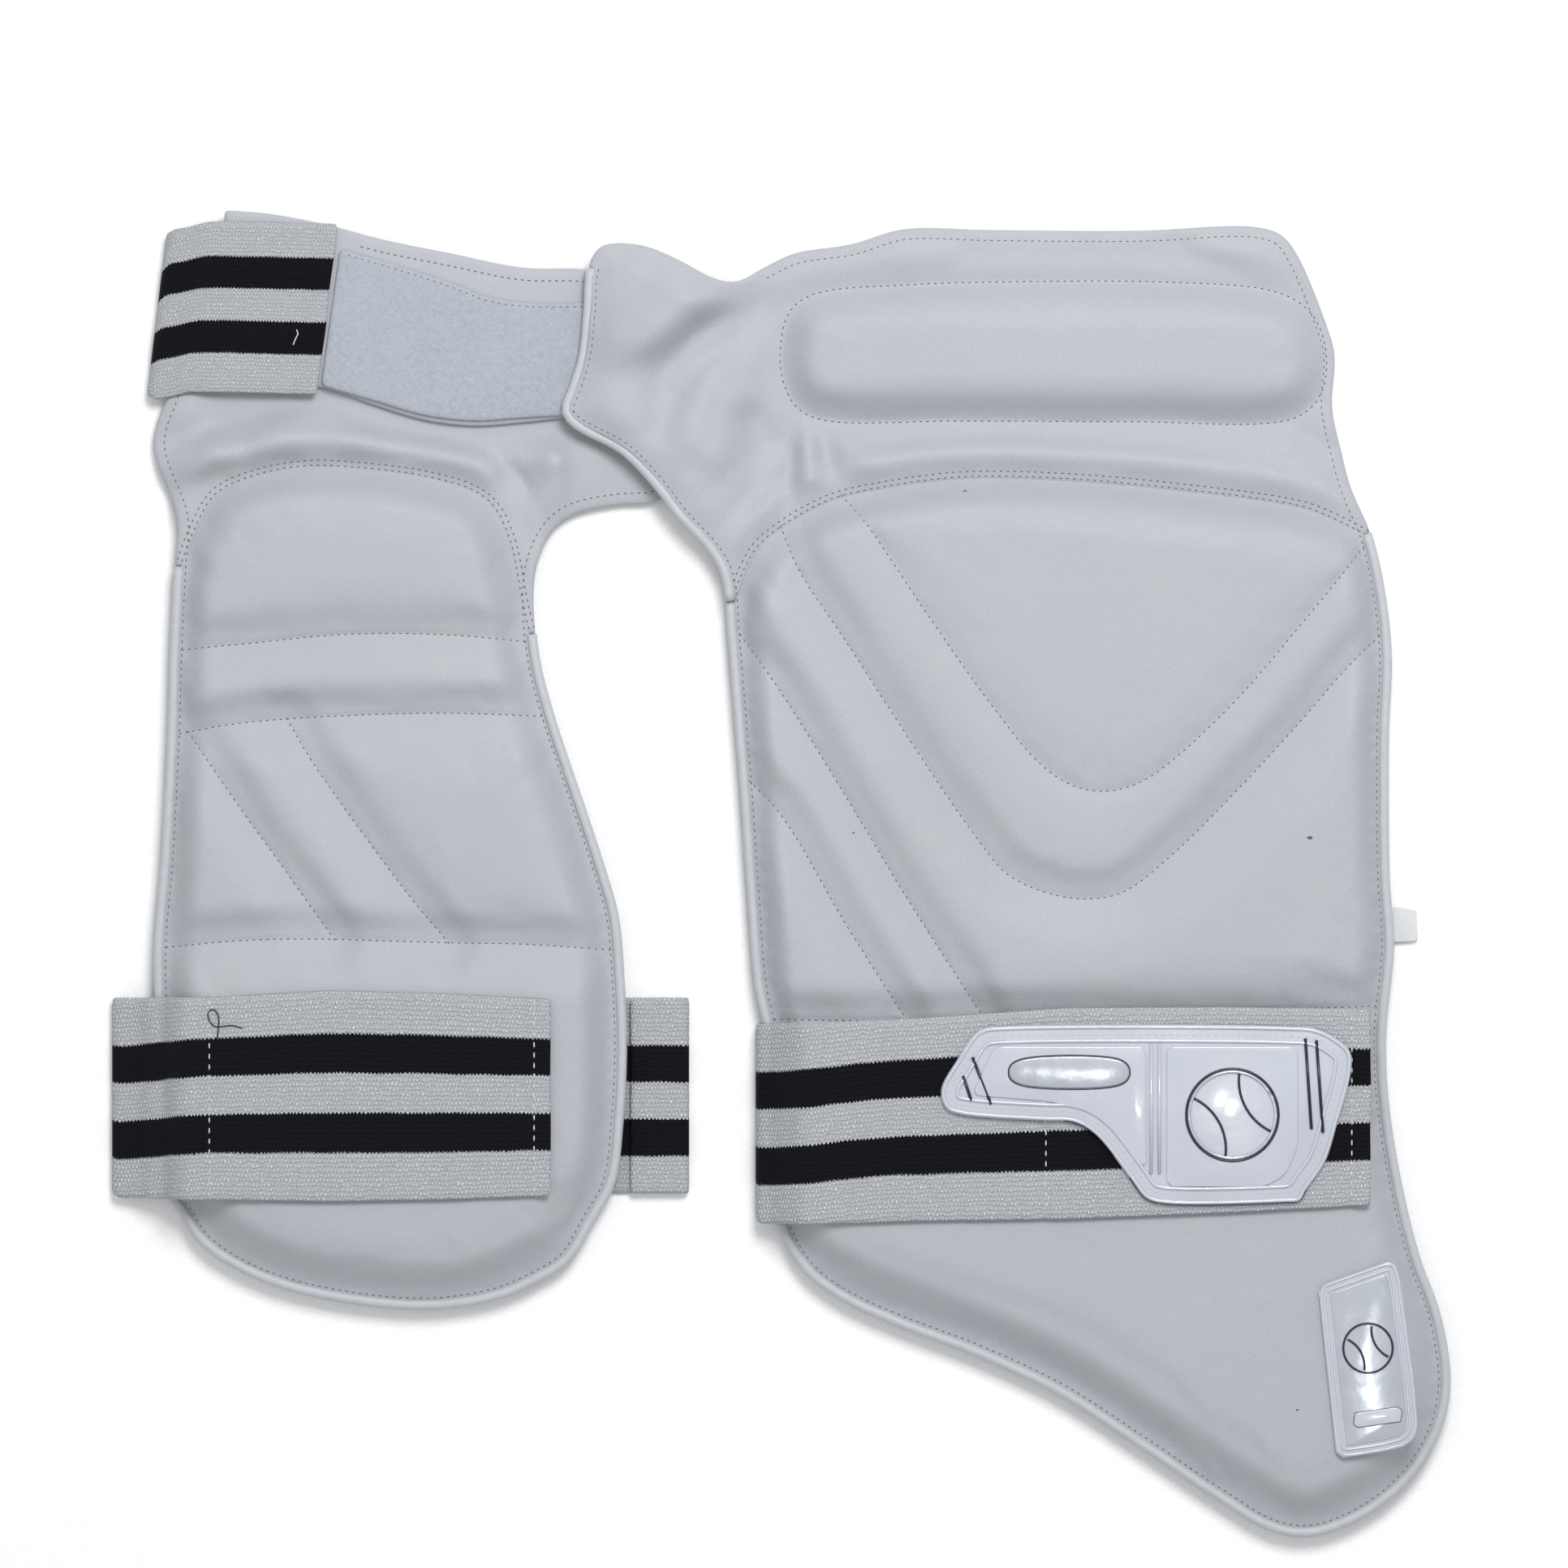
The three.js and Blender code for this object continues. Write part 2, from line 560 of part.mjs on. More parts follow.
// A flat plate from an outline
function plate(ring, bottom, thickness) {
  const settings = { depth: thickness, bevelEnabled: false };
  return new THREE.ExtrudeGeometry(new THREE.Shape(ring), settings).translate(0, 0, bottom);
}

// A strap of one width and thickness along rows of [x, y, z, slant]: slant leans its width to the right
function ribbon(rows, width, thickness) {
  const centres = rows.map(([x, y, z]) => new THREE.Vector3(x, y, z));
  const points = [];
  const faces = [];
  centres.forEach((centre, i) => {
    const before = centres[Math.max(0, i - 1)];
    const after = centres[Math.min(centres.length - 1, i + 1)];
    const first = centre.clone().sub(before).setY(0).normalize();
    const second = after.clone().sub(centre).setY(0).normalize();
    const tangent = first.clone().add(second).normalize();
    const normal = new THREE.Vector3(-tangent.z, 0, tangent.x);
    const straight = first.lengthSq() > 0 ? first : second;
    const lean = Math.max(0.5, normal.dot(new THREE.Vector3(-straight.z, 0, straight.x)));
    const slant = rows[i][3] ?? 0;
    for (const [side, face] of [[-1, -1], [1, -1], [1, 1], [-1, 1]]) {
      const point = centre.clone().addScaledVector(normal, (face * thickness) / 2 / lean);
      point.x += (side * slant * width) / 2;
      point.y += (side * width) / 2;
      points.push(point.toArray());
    }
    if (i === 0) return;
    const base = 4 * i;
    for (let k = 0; k < 4; k += 1) {
      const next = (k + 1) % 4;
      faces.push([base - 4 + k, base + k, base + next], [base - 4 + k, base + next, base - 4 + next]);
    }
  });
  const last = points.length - 4;
  faces.push([0, 1, 2], [0, 2, 3], [last, last + 2, last + 1], [last, last + 3, last + 2]);
  return solidFrom(points, faces);
}

// Cord sewn into an edge: a tube along the line, its underside on the level given
function piping(line, level, count) {
  const radius = pipingDiameter / 2;
  const path = Array.from({ length: count + 1 }, (unused, i) => {
    const point = pointAt(line, i / count);
    return new THREE.Vector3(point.x, point.y, level(point) + radius);
  });
  const curve = new THREE.CatmullRomCurve3(path, false, "centripetal");
  const section = new THREE.Shape();
  const sides = 6;
  for (let i = 0; i < sides; i += 1) {
    const angle = ((i + 0.5) / sides) * 2 * Math.PI;
    const corner = [radius * Math.cos(angle), radius * Math.sin(angle)];
    if (i === 0) section.moveTo(...corner);
    else section.lineTo(...corner);
  }
  return new THREE.ExtrudeGeometry(section, { steps: count, extrudePath: curve, bevelEnabled: false });
}

const wasm = await Module();
wasm.setup();

function toSolid(geometry) {
  const bare = geometry.index ? geometry.toNonIndexed() : geometry.clone();
  bare.deleteAttribute("normal");
  bare.deleteAttribute("uv");
  const merged = mergeVertices(bare, 1e-4);
  const vertProperties = new Float32Array(merged.attributes.position.array);
  const triVerts = new Uint32Array(merged.index.array);
  return new wasm.Manifold(new wasm.Mesh({ numProp: 3, vertProperties, triVerts }));
}

function fromSolid(solid) {
  const mesh = solid.getMesh();
  const geometry = new THREE.BufferGeometry();
  geometry.setAttribute("position", new THREE.BufferAttribute(new Float32Array(mesh.vertProperties), 3));
  geometry.setIndex(new THREE.BufferAttribute(new Uint32Array(mesh.triVerts), 1));
  geometry.computeVertexNormals();
  return geometry;
}

// Materials, by the look of each cloth or moulding
function material(color, roughness, metalness = 0) {
  return new THREE.MeshStandardMaterial({ color, roughness, metalness });
}
const leatherette = () => material(0xbec1c8, 0.62);
const bindingCloth = () => material(0xc8cad2, 0.6);
const liningCloth = () => material(0xb6b8bd, 0.8);
const wovenElastic = () => material(0xc3c6ca, 0.85);
const loopPile = () => material(0xb7bac6, 0.95);
const clearMoulding = () => material(0xd2d5da, 0.25);
const silverMoulding = () => material(0xb9bec6, 0.35, 0.3);

const guard = new THREE.Group();
function add(name, geometry, look) {
  const mesh = new THREE.Mesh(geometry, look);
  mesh.name = name;
  guard.add(mesh);
}

// Lines of the outer guard
const outerRim = smooth(outerOutline.map(onOuter), true);
const outerSeamLine = insetLine(outerRim, hemWidth);
const outerArc = seamFrom(outerArcRows.map(onOuter), outerSeamLine, outerSeamLine);
const upperV = seamFrom(upperVRows.map(onOuter), outerArc, outerSeamLine);
const lowerV = seamFrom(lowerVRows.map(onOuter), outerArc, outerSeamLine);
const strapSeam = seamFrom(strapSeamRows.map(onOuter), outerSeamLine, outerSeamLine);
const sideSeam = seamFrom(sideSeamRows.map(onOuter), outerSeamLine, strapSeam);
const cornerSeam = seamFrom(cornerSeamRows.map(onOuter), outerSeamLine, strapSeam);
const tailTip = tailTipRows.map(onOuter);

// Cells of the outer guard's cover
function buildOuterCover() {
  const cell = (name, sides, ends, step) => {
    add(name, pillow(sides, ends, coverBottom, foamThickness, step), leatherette());
  };
  cell("outer_v_panel", {
    left: between(outerArc, upperV[0], outerArc.at(-1)),
    right: upperV,
    start: [upperV[0], upperV[0]],
    end: around(outerSeamLine, outerArc.at(-1), upperV.at(-1)),
  }, { left: arcEdge, right: pinch, start: arcEdge, end: sideEdge }, curvedSeamStep);
  cell("outer_v_rib", {
    left: upperV,
    right: lowerV,
    start: between(outerArc, upperV[0], lowerV[0]),
    end: around(outerSeamLine, upperV.at(-1), lowerV.at(-1)),
  }, { left: pinch, right: channel, start: arcEdge, end: sideEdge }, curvedSeamStep);
  cell("outer_field_pad", {
    left: lowerV,
    right: join(
      around(outerSeamLine, outerArc[0], sideSeam[0]),
      sideSeam,
      between(strapSeam, sideSeam.at(-1), strapSeam.at(-1)),
    ),
    start: between(outerArc, lowerV[0], outerArc[0]),
    end: around(outerSeamLine, lowerV.at(-1), strapSeam.at(-1)),
  }, { left: channel, right: channel, start: arcEdge, end: sideEdge }, curvedSeamStep);
  cell("outer_rib_pad", {
    left: sideSeam,
    right: cornerSeam,
    start: around(outerSeamLine, sideSeam[0], cornerSeam[0]),
    end: between(strapSeam, sideSeam.at(-1), cornerSeam.at(-1)),
  }, { left: channel, right: channel, start: sideEdge, end: channel });
  cell("outer_corner_pad", {
    left: cornerSeam,
    right: around(outerSeamLine, cornerSeam[0], strapSeam[0]),
    start: [cornerSeam[0], cornerSeam[0]],
    end: between(strapSeam, cornerSeam.at(-1), strapSeam[0]),
  }, { left: channel, right: sideEdge, start: channel, end: channel });
  cell("outer_lower_pad", {
    left: around(outerSeamLine, strapSeam[0], tailTip[0]),
    right: around(outerSeamLine, strapSeam.at(-1), tailTip[1]),
    start: strapSeam,
    end: around(outerSeamLine, tailTip[0], tailTip[1]),
  }, { left: tailEdge, right: sideEdge, start: channel, end: tailEdge });
}

// The back of a pad reaches past the arc by a tab, which the yoke is sewn on
function backPanel(rim, arc, arcStartCorner, arcEndCorner, farPoint) {
  const tab = arc.map((point) => new THREE.Vector2(point.x, point.y + panelTab));
  const right = around(rim, arcEndCorner, farPoint);
  const left = around(rim, farPoint, arcStartCorner);
  return join(right, left, tab);
}

// The hip yoke lies on the waist elastic, climbs onto the pad's tab along the arc and over the waist band
const flapCorner = onOuter([-0.84, 1.826]);
const flapTip = onOuter([-1, 1.255]);
const waistRightCorner = onOuter([0.768, 1.968]);
const flapRestsBefore = onOuter([-0.27, 1]).x;
const flapMeetsPad = onOuter([0.06, 1]).x;
function ease(value, start, end) {
  return THREE.MathUtils.smoothstep(value, Math.min(start, end), Math.max(start, end));
}
function arcClimb(point, arc) {
  const away = nearestOn(arc, point).distance;
  return 1 - ease(away, panelTab + climbGap, panelTab + climbGap + climbLength);
}
function hipYokeBase(point) {
  const onTab = yokeBottom + (coverBottom - yokeBottom) * arcClimb(point, outerArc);
  const onBand = 1 - ease(point.x, flapRestsBefore, flapMeetsPad);
  return Math.max(onTab, onTab + (flapBottom - onTab) * onBand);
}
function calmNear(point, arc) {
  return ease(nearestOn(arc, point).distance, 0, 2 * hemWidth);
}
function hipYokeLevel(point) {
  const folds = foldHeight(point, hipYokeFolds, onOuter, yokeThickness, hipYokeHeight);
  const away = nearestOn(bolsterRing, point).distance;
  const clear = ease(away, 1.3 * yokeStepAlong, 2.5 * yokeStepAlong);
  const kept = insideRing(bolsterRing, point) ? 0 : clear;
  return hipYokeBase(point) + kept * Math.max(0, folds * calmNear(point, outerArc) + yokeThickness / 3);
}

function insideRing(ring, point) {
  let inside = false;
  for (let i = 0, j = ring.length - 1; i < ring.length; j = i, i += 1) {
    const [a, b] = [ring[i], ring[j]];
    if ((a.y > point.y) !== (b.y > point.y)) {
      const crossing = a.x + ((b.x - a.x) * (point.y - a.y)) / (b.y - a.y);
      if (point.x < crossing) inside = !inside;
    }
  }
  return inside;
}

const bolsterRing = smooth(bolsterRows.map(onOuter), true);

function buildHipYoke() {
  const lowerRim = around(outerRim, flapTip, onOuter([-0.08, 0.92]));
  const sides = {
    left: around(outerRim, flapCorner, waistRightCorner),
    right: join(insetOpen(lowerRim), between(outerArc, onOuter([0.055, 0.941]), outerArc.at(-1))),
    start: insetOpen(around(outerRim, flapCorner, flapTip)),
    end: around(outerRim, waistRightCorner, outerArc.at(-1)),
  };
  const steps = [yokeStepAlong, yokeStepAcross];
  add("hip_yoke", sheet(sides, steps, hipYokeLevel, yokeThickness, grooveWidth / 2), leatherette());
}

// The flap's edge, moved in from the rim to leave room for its piping
function insetOpen(line) {
  const hem = insetLine(outerRim, pipingDiameter + clearance / 2);
  return line.map((point) => nearestOn(hem, point).point);
}

function buildBolster() {
  const corners = bolsterCornerRows.map((row) => nearestOn(bolsterRing, onOuter(row)).point);
  const [topLeft, topRight, lowRight, lowLeft] = corners;
  const sides = {
    left: around(bolsterRing, topLeft, topRight),
    right: around(bolsterRing, lowLeft, lowRight),
    start: around(bolsterRing, topLeft, lowLeft),
    end: around(bolsterRing, topRight, lowRight),
  };
  const ends = { left: bolsterEdge, right: bolsterEdge, start: bolsterEdge, end: bolsterEdge };
  const bottom = yokeBottom + yokeThickness + clearance;
  add("hip_bolster", pillow(sides, ends, bottom, bolsterThickness), leatherette());
}

// The flap's piping, and the outer pad's piping and back panel. Piping follows the rim half its own width in.
function buildOuterTrim() {
  const inset = pipingDiameter / 2 + clearance / 2;
  const track = insetLine(outerRim, inset);
  const flapEdge = join(around(track, flapCorner, flapTip), around(track, flapTip, outerArc[0]));
  const start = pointAt(flapEdge, 0.02);
  const end = pointAt(flapEdge, 0.97);
  add("flap_piping", piping(between(flapEdge, start, end), hipYokeLevel, flapPipingSteps), bindingCloth());
  const farPoint = onOuter([0.807, 0]);
  const padEdge = join(around(track, outerArc[0], farPoint), around(track, farPoint, outerArc.at(-1)));
  const cord = piping(stretch(padEdge, 0.004, 0.996), () => coverBottom, outerPipingSteps);
  add("outer_piping", cord, bindingCloth());
  const panel = backPanel(outerRim, outerArc, outerArc[0], outerArc.at(-1), farPoint);
  add("outer_back_panel", plate(panel, panelBottom, panelThickness), liningCloth());
}

// The outer thigh strap: sewn behind the pad's right side, round its left edge and over the front
function leftmost(rim, low, high) {
  return Math.min(...rim.filter((point) => point.y > low && point.y < high).map((point) => point.x));
}
function rightmost(rim, low, high) {
  return Math.max(...rim.filter((point) => point.y > low && point.y < high).map((point) => point.x));
}
function buildOuterStrap() {
  const half = strapThickness / 2;
  const leftY = strapCentreLeft * outerPadLength;
  const rightY = strapCentreRight * outerPadLength;
  const leftSide = leftmost(outerRim, leftY - thighStrapWidth / 2, leftY + thighStrapWidth / 2);
  const fold = leftSide - clearance - half;
  const end = fold + outerStrapFrontLength;
  const yAt = (x) => leftY + ((rightY - leftY) * (x - fold)) / (end - fold);
  const over = (inside) => coverHeight(inside, tailBevel) + clearance + half;
  const front = coverTop + clearance + half;
  const edge = hemWidth + tailBevel;
  const cordTop = coverBottom + pipingDiameter;
  const slope = hemWidth + 2.5 * strapThickness;
  const rows = [
    [end, front], [fold + edge + strapThickness, front],
    [fold + edge - strapThickness, front - 0.1 * strapThickness],
    [fold + slope, over(slope) + half], [fold + hemWidth, cordTop + 1.2 * strapThickness],
    [fold + 0.7 * strapThickness, cordTop + half + 0.3 * strapThickness],
    [fold + 0.1 * strapThickness, cordTop], [fold, coverBottom], [fold, panelBottom],
    [fold + 0.25 * strapThickness, half + 0.2 * strapThickness], [fold + 0.8 * strapThickness, half],
    [end, half],
  ];
  const path = rows.map(([x, z]) => [x, yAt(x), z]);
  add("outer_thigh_strap", ribbon(path, thighStrapWidth, strapThickness), wovenElastic());
}

function badgeShape(rows) {
  const [x, y] = onOuter(badgePlace).toArray();
  return rows.map(([across, along]) => new THREE.Vector2(x + across * badgeLength, y + along * badgeWidth));
}
function buildBadge() {
  const bottom = coverTop + 2 * clearance + strapThickness;
  const outline = badgeShape(badgeRows);
  const ring = smooth(outline, true).slice(0, -1);
  const hole = insetRing(ring, badgeRimWidth);
  const top = bottom + badgeBaseThickness;
  const rim = new THREE.Shape(ring);
  rim.holes.push(new THREE.Path(hole));
  const depth = badgeReliefHeight + mouldingOverlap;
  const rimGeometry = new THREE.ExtrudeGeometry(rim, { depth, bevelEnabled: false });
  let badge = toSolid(plate(ring, bottom, badgeBaseThickness));
  badge = badge.add(toSolid(rimGeometry.translate(0, 0, top - mouldingOverlap)));
  for (const rows of [badgeLeftPanelRows, badgeRightPanelRows]) {
    badge = badge.add(toSolid(plate(badgeShape(rows), top - mouldingOverlap, depth)));
  }
  add("strap_badge", fromSolid(badge), clearMoulding());
}

function buildPatch() {
  const centre = onOuter(patchPlace);
  const corner = patchWidth / 12;
  const cardShape = (width, length) => {
    const shape = new THREE.Shape();
    const [w, l] = [width / 2, length / 2];
    shape.moveTo(-w + corner, -l).lineTo(w - corner, -l).lineTo(w, -l + corner).lineTo(w, l - corner);
    shape.lineTo(w - corner, l).lineTo(-w + corner, l).lineTo(-w, l - corner).lineTo(-w, -l + corner);
    return shape;
  };
  const card = cardShape(patchWidth, patchLength);
  const base = new THREE.ExtrudeGeometry(card, { depth: patchThickness, bevelEnabled: false });
  const face = cardShape(patchWidth - badgeRimWidth * 2, patchLength - badgeRimWidth * 2);
  const depth = patchReliefHeight + mouldingOverlap;
  const panel = new THREE.ExtrudeGeometry(face, { depth, bevelEnabled: false });
  panel.translate(0, 0, patchThickness - mouldingOverlap);
  const patch = fromSolid(toSolid(base).add(toSolid(panel)));
  patch.rotateZ(THREE.MathUtils.degToRad(patchTurnDegrees));
  patch.translate(centre.x, centre.y, coverTop + clearance);
  add("corner_patch", patch, silverMoulding());
}

function buildTag() {
  const place = nearestOn(outerRim, onOuter(tagPlace)).point;
  const low = new THREE.Vector2(place.x - tagLength / 3, place.y - tagWidth / 2);
  const ring = [
    low,
    new THREE.Vector2(low.x + tagLength, low.y),
    new THREE.Vector2(low.x + tagLength, low.y + tagWidth * 0.85),
    new THREE.Vector2(low.x, low.y + tagWidth),
  ];
  add("side_tag", plate(ring, panelBottom - clearance - tagThickness, tagThickness), liningCloth());
}

// Lines of the inner guard
const innerRim = smooth(innerOutline.map(onInner), true);
const innerSeamLine = insetLine(innerRim, hemWidth);
const innerArc = seamFrom(innerArcRows.map(onInner), innerSeamLine, innerSeamLine);
const upperBandSeam = seamFrom(upperBandSeamRows.map(onInner), innerSeamLine, innerSeamLine);
const lowerBandSeam = seamFrom(lowerBandSeamRows.map(onInner), innerSeamLine, innerSeamLine);
const lowSeam = seamFrom(lowSeamRows.map(onInner), innerSeamLine, innerSeamLine);
const wedgeSeam = seamFrom(wedgeSeamRows.map(onInner), lowerBandSeam, lowSeam);
const ribSeam = seamFrom(ribSeamRows.map(onInner), lowerBandSeam, lowSeam);
const roundTip = roundTipRows.map(onInner);

function buildInnerCover() {
  const cell = (name, sides, ends) => {
    add(name, pillow(sides, ends, coverBottom, foamThickness), leatherette());
  };
  cell("inner_top_pad", {
    left: innerArc,
    right: upperBandSeam,
    start: around(innerSeamLine, innerArc[0], upperBandSeam[0]),
    end: around(innerSeamLine, innerArc.at(-1), upperBandSeam.at(-1)),
  }, { left: arcEdge, right: channel, start: sideEdge, end: sideEdge });
  cell("inner_band_pad", {
    left: upperBandSeam,
    right: lowerBandSeam,
    start: around(innerSeamLine, upperBandSeam[0], lowerBandSeam[0]),
    end: around(innerSeamLine, upperBandSeam.at(-1), lowerBandSeam.at(-1)),
  }, { left: channel, right: channel, start: sideEdge, end: sideEdge });
  cell("inner_wedge_pad", {
    left: around(innerSeamLine, lowerBandSeam[0], lowSeam[0]),
    right: wedgeSeam,
    start: between(lowerBandSeam, lowerBandSeam[0], wedgeSeam[0]),
    end: between(lowSeam, lowSeam[0], wedgeSeam.at(-1)),
  }, { left: sideEdge, right: channel, start: channel, end: channel });
  cell("inner_rib_pad", {
    left: wedgeSeam,
    right: ribSeam,
    start: between(lowerBandSeam, wedgeSeam[0], ribSeam[0]),
    end: between(lowSeam, wedgeSeam.at(-1), ribSeam.at(-1)),
  }, { left: channel, right: channel, start: channel, end: channel });
  cell("inner_side_pad", {
    left: ribSeam,
    right: around(innerSeamLine, lowerBandSeam.at(-1), lowSeam.at(-1)),
    start: between(lowerBandSeam, ribSeam[0], lowerBandSeam.at(-1)),
    end: between(lowSeam, ribSeam.at(-1), lowSeam.at(-1)),
  }, { left: channel, right: sideEdge, start: channel, end: channel });
  cell("inner_lower_pad", {
    left: around(innerSeamLine, lowSeam[0], roundTip[0]),
    right: around(innerSeamLine, lowSeam.at(-1), roundTip[1]),
    start: lowSeam,
    end: around(innerSeamLine, roundTip[0], roundTip[1]),
  }, { left: roundSideEdge, right: sideEdge, start: channel, end: tailEdge });
}

// The inner yoke tucks under the waist band and, as a wing, under the flap
function innerYokeLevel(point) {
  const onTab = yokeBottom + (coverBottom - yokeBottom) * arcClimb(point, innerArc);
  const folds = foldHeight(point, innerYokeFolds, onInner, yokeThickness, innerYokeHeight);
  const covered = ease(nearestOn(bandRing, point).distance, yokeStepAlong, 2 * yokeStepAlong);
  const under = insideRing(bandRing, point) ? 0 : covered;
  const wing = 1 - ease(point.x, onInner([0.9, 1]).x, onInner([1, 1]).x);
  return onTab + Math.max(0, (folds * calmNear(point, innerArc) + yokeThickness / 3) * under * wing);
}
const bandUpperLine = smooth(bandUpperRows.map(onInner));
const bandLowerLine = smooth(bandLowerRows.map(onInner));
const bandRing = [...bandUpperLine, ...[...bandLowerLine].reverse(), bandUpperLine[0]];

function buildInnerYoke() {
  const topLeft = onInner([0.043, 1.547]);
  const topRight = onInner([1.116, 1.231]);
  const lowRight = onInner([1.115, 0.984]);
  const sides = {
    left: around(innerRim, topLeft, topRight),
    right: join(
      [onInner([0.05, 0.936])],
      between(innerArc, onInner([0.098, 0.936]), onInner([0.748, 0.92])),
      around(innerRim, onInner([0.817, 0.883]), lowRight),
    ),
    start: around(innerRim, topLeft, onInner([0.05, 0.936])),
    end: around(innerRim, topRight, lowRight),
  };
  const steps = [yokeStepAlong, yokeStepAcross];
  add("inner_yoke", sheet(sides, steps, innerYokeLevel, yokeThickness, grooveWidth), leatherette());
}

function buildWaistBand() {
  const bandSides = {
    left: bandUpperLine,
    right: bandLowerLine,
    start: [bandUpperLine[0], bandLowerLine[0]],
    end: [bandUpperLine.at(-1), bandLowerLine.at(-1)],
  };
  const steps = [gridStep, gridStep];
  add("waist_band", sheet(bandSides, steps, () => bandBottom, bandThickness, 0), leatherette());
  const loopUpper = smooth(loopUpperRows.map(onInner));
  const loopLower = smooth(loopLowerRows.map(onInner));
  const loopSides = {
    left: loopUpper,
    right: loopLower,
    start: [loopUpper[0], loopLower[0]],
    end: [loopUpper.at(-1), loopLower.at(-1)],
  };
  add("loop_patch", sheet(loopSides, steps, () => loopBottom, loopThickness, 0), loopPile());
}

// The waist elastic: sewn on the band, folded round at the left, then flat on the surface behind both guards
function buildWaistElastic() {
  const half = strapThickness / 2;
  const front = bandTop + clearance + half;
  const row = (point, z, slant) => [point.x, point.y, z, slant];
  const lean = 0.12;
  const fold = onInner([0.012, 1.592]);
  const innerPlaces = [[0.3, 1.54], [0.543, 1.42], [0.8, 1.36], [1.1, 1.32]].map(onInner);
  const outerPlaces = [[0.15, 1.33], [0.35, 1.35], [0.55, 1.4], [0.745, 1.46]].map(onOuter);
  const turnTop = front - 1.3 * strapThickness;
  const rows = [
    row(onInner([0.372, 1.611]), front, lean),
    row(onInner([0.14, 1.62]), front, lean),
    row(onInner([0.1, 1.62]), front - 0.25 * strapThickness, lean),
    row(onInner([0.055, 1.6]), front - 0.95 * strapThickness, lean),
    [fold.x + strapThickness, fold.y, turnTop, lean],
    [fold.x + 0.2 * strapThickness, fold.y, turnTop - half, lean],
    [fold.x, fold.y, (turnTop + half) / 2, lean],
    [fold.x + 0.25 * strapThickness, fold.y, half + 0.35 * strapThickness, lean],
    [fold.x + strapThickness, fold.y, half, lean],
    row(onInner([0.12, 1.59]), half, lean / 2),
    ...[...innerPlaces, ...outerPlaces].map((place) => row(place, half, 0)),
  ];
  add("waist_elastic", ribbon(rows, waistElasticWidth, strapThickness), wovenElastic());
}

function buildInnerTrim() {
  const farPoint = onInner([0.568, 0]);
  const track = insetLine(innerRim, pipingDiameter / 2 + clearance / 2);
  const padEdge = join(around(track, innerArc[0], farPoint), around(track, farPoint, innerArc.at(-1)));
  const cord = piping(stretch(padEdge, 0.004, 0.996), () => coverBottom, innerPipingSteps);
  add("inner_piping", cord, bindingCloth());
  const panel = backPanel(innerRim, innerArc, innerArc[0], innerArc.at(-1), farPoint);
  add("inner_back_panel", plate(panel, panelBottom, panelThickness), liningCloth());
}

// The inner thigh strap: sewn to the panel's right edge, folded under, along the surface and over the front
function buildInnerStrap() {
  const half = strapThickness / 2;
  const y = innerPadRise + innerStrapCentre * innerPadLength;
  const low = y - thighStrapWidth / 2;
  const high = y + thighStrapWidth / 2;
  const left = leftmost(innerRim, low, high);
  const right = rightmost(innerRim, low, high);
  const sewn = panelBottom + clearance / 2 + half;
  const turn = right + innerStrapRightLoop;
  const fold = left - innerStrapLeftLoop;
  const front = coverTop + clearance + half;
  const crossing = coverBottom + pipingDiameter + clearance + half;
  const plateau = left + hemWidth + roundSideBevel;
  const rows = [
    [right + clearance + 0.25 * strapThickness, sewn], [turn - strapThickness, sewn],
    [turn - 0.25 * strapThickness, sewn - 0.15 * strapThickness], [turn, (sewn + half) / 2],
    [turn - 0.25 * strapThickness, half + 0.15 * strapThickness], [turn - strapThickness, half],
    [fold + strapThickness, half], [fold + 0.25 * strapThickness, half + 0.2 * strapThickness],
    [fold, half + 0.85 * strapThickness], [fold + 0.35 * strapThickness, half + 1.5 * strapThickness],
    [fold + 1.5 * strapThickness, half + 2.1 * strapThickness],
    [left - 2 * strapThickness, crossing - 1.1 * strapThickness],
    [left - 0.25 * strapThickness, crossing + 0.4 * strapThickness],
    [left + hemWidth, crossing + 1.3 * strapThickness],
    [left + hemWidth + 2 * strapThickness, crossing + 4 * strapThickness],
    [plateau - strapThickness, front - 0.2 * strapThickness], [plateau + 0.75 * strapThickness, front],
    [fold + innerStrapFrontLength, front],
  ];
  const path = rows.map(([x, z]) => [x, y, z]);
  add("inner_thigh_strap", ribbon(path, thighStrapWidth, strapThickness), wovenElastic());
}

buildHipYoke();
buildBolster();
buildOuterCover();
buildOuterTrim();
buildOuterStrap();
buildBadge();
buildPatch();
buildTag();
buildInnerYoke();
buildInnerCover();
buildInnerTrim();
buildInnerStrap();
buildWaistBand();
buildWaistElastic();

// The origin is the middle of the guard's outline, on the surface
const box = new THREE.Box3().setFromObject(guard);
const middle = box.getCenter(new THREE.Vector3());
for (const mesh of guard.children) mesh.position.set(-middle.x, -middle.y, -box.min.z);

export default guard;
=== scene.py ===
import math

import bmesh
import bpy
import numpy as np
from bpy.props import FloatProperty, FloatVectorProperty, PointerProperty
from mathutils import Matrix, Vector, geometry, noise
from mathutils.bvhtree import BVHTree


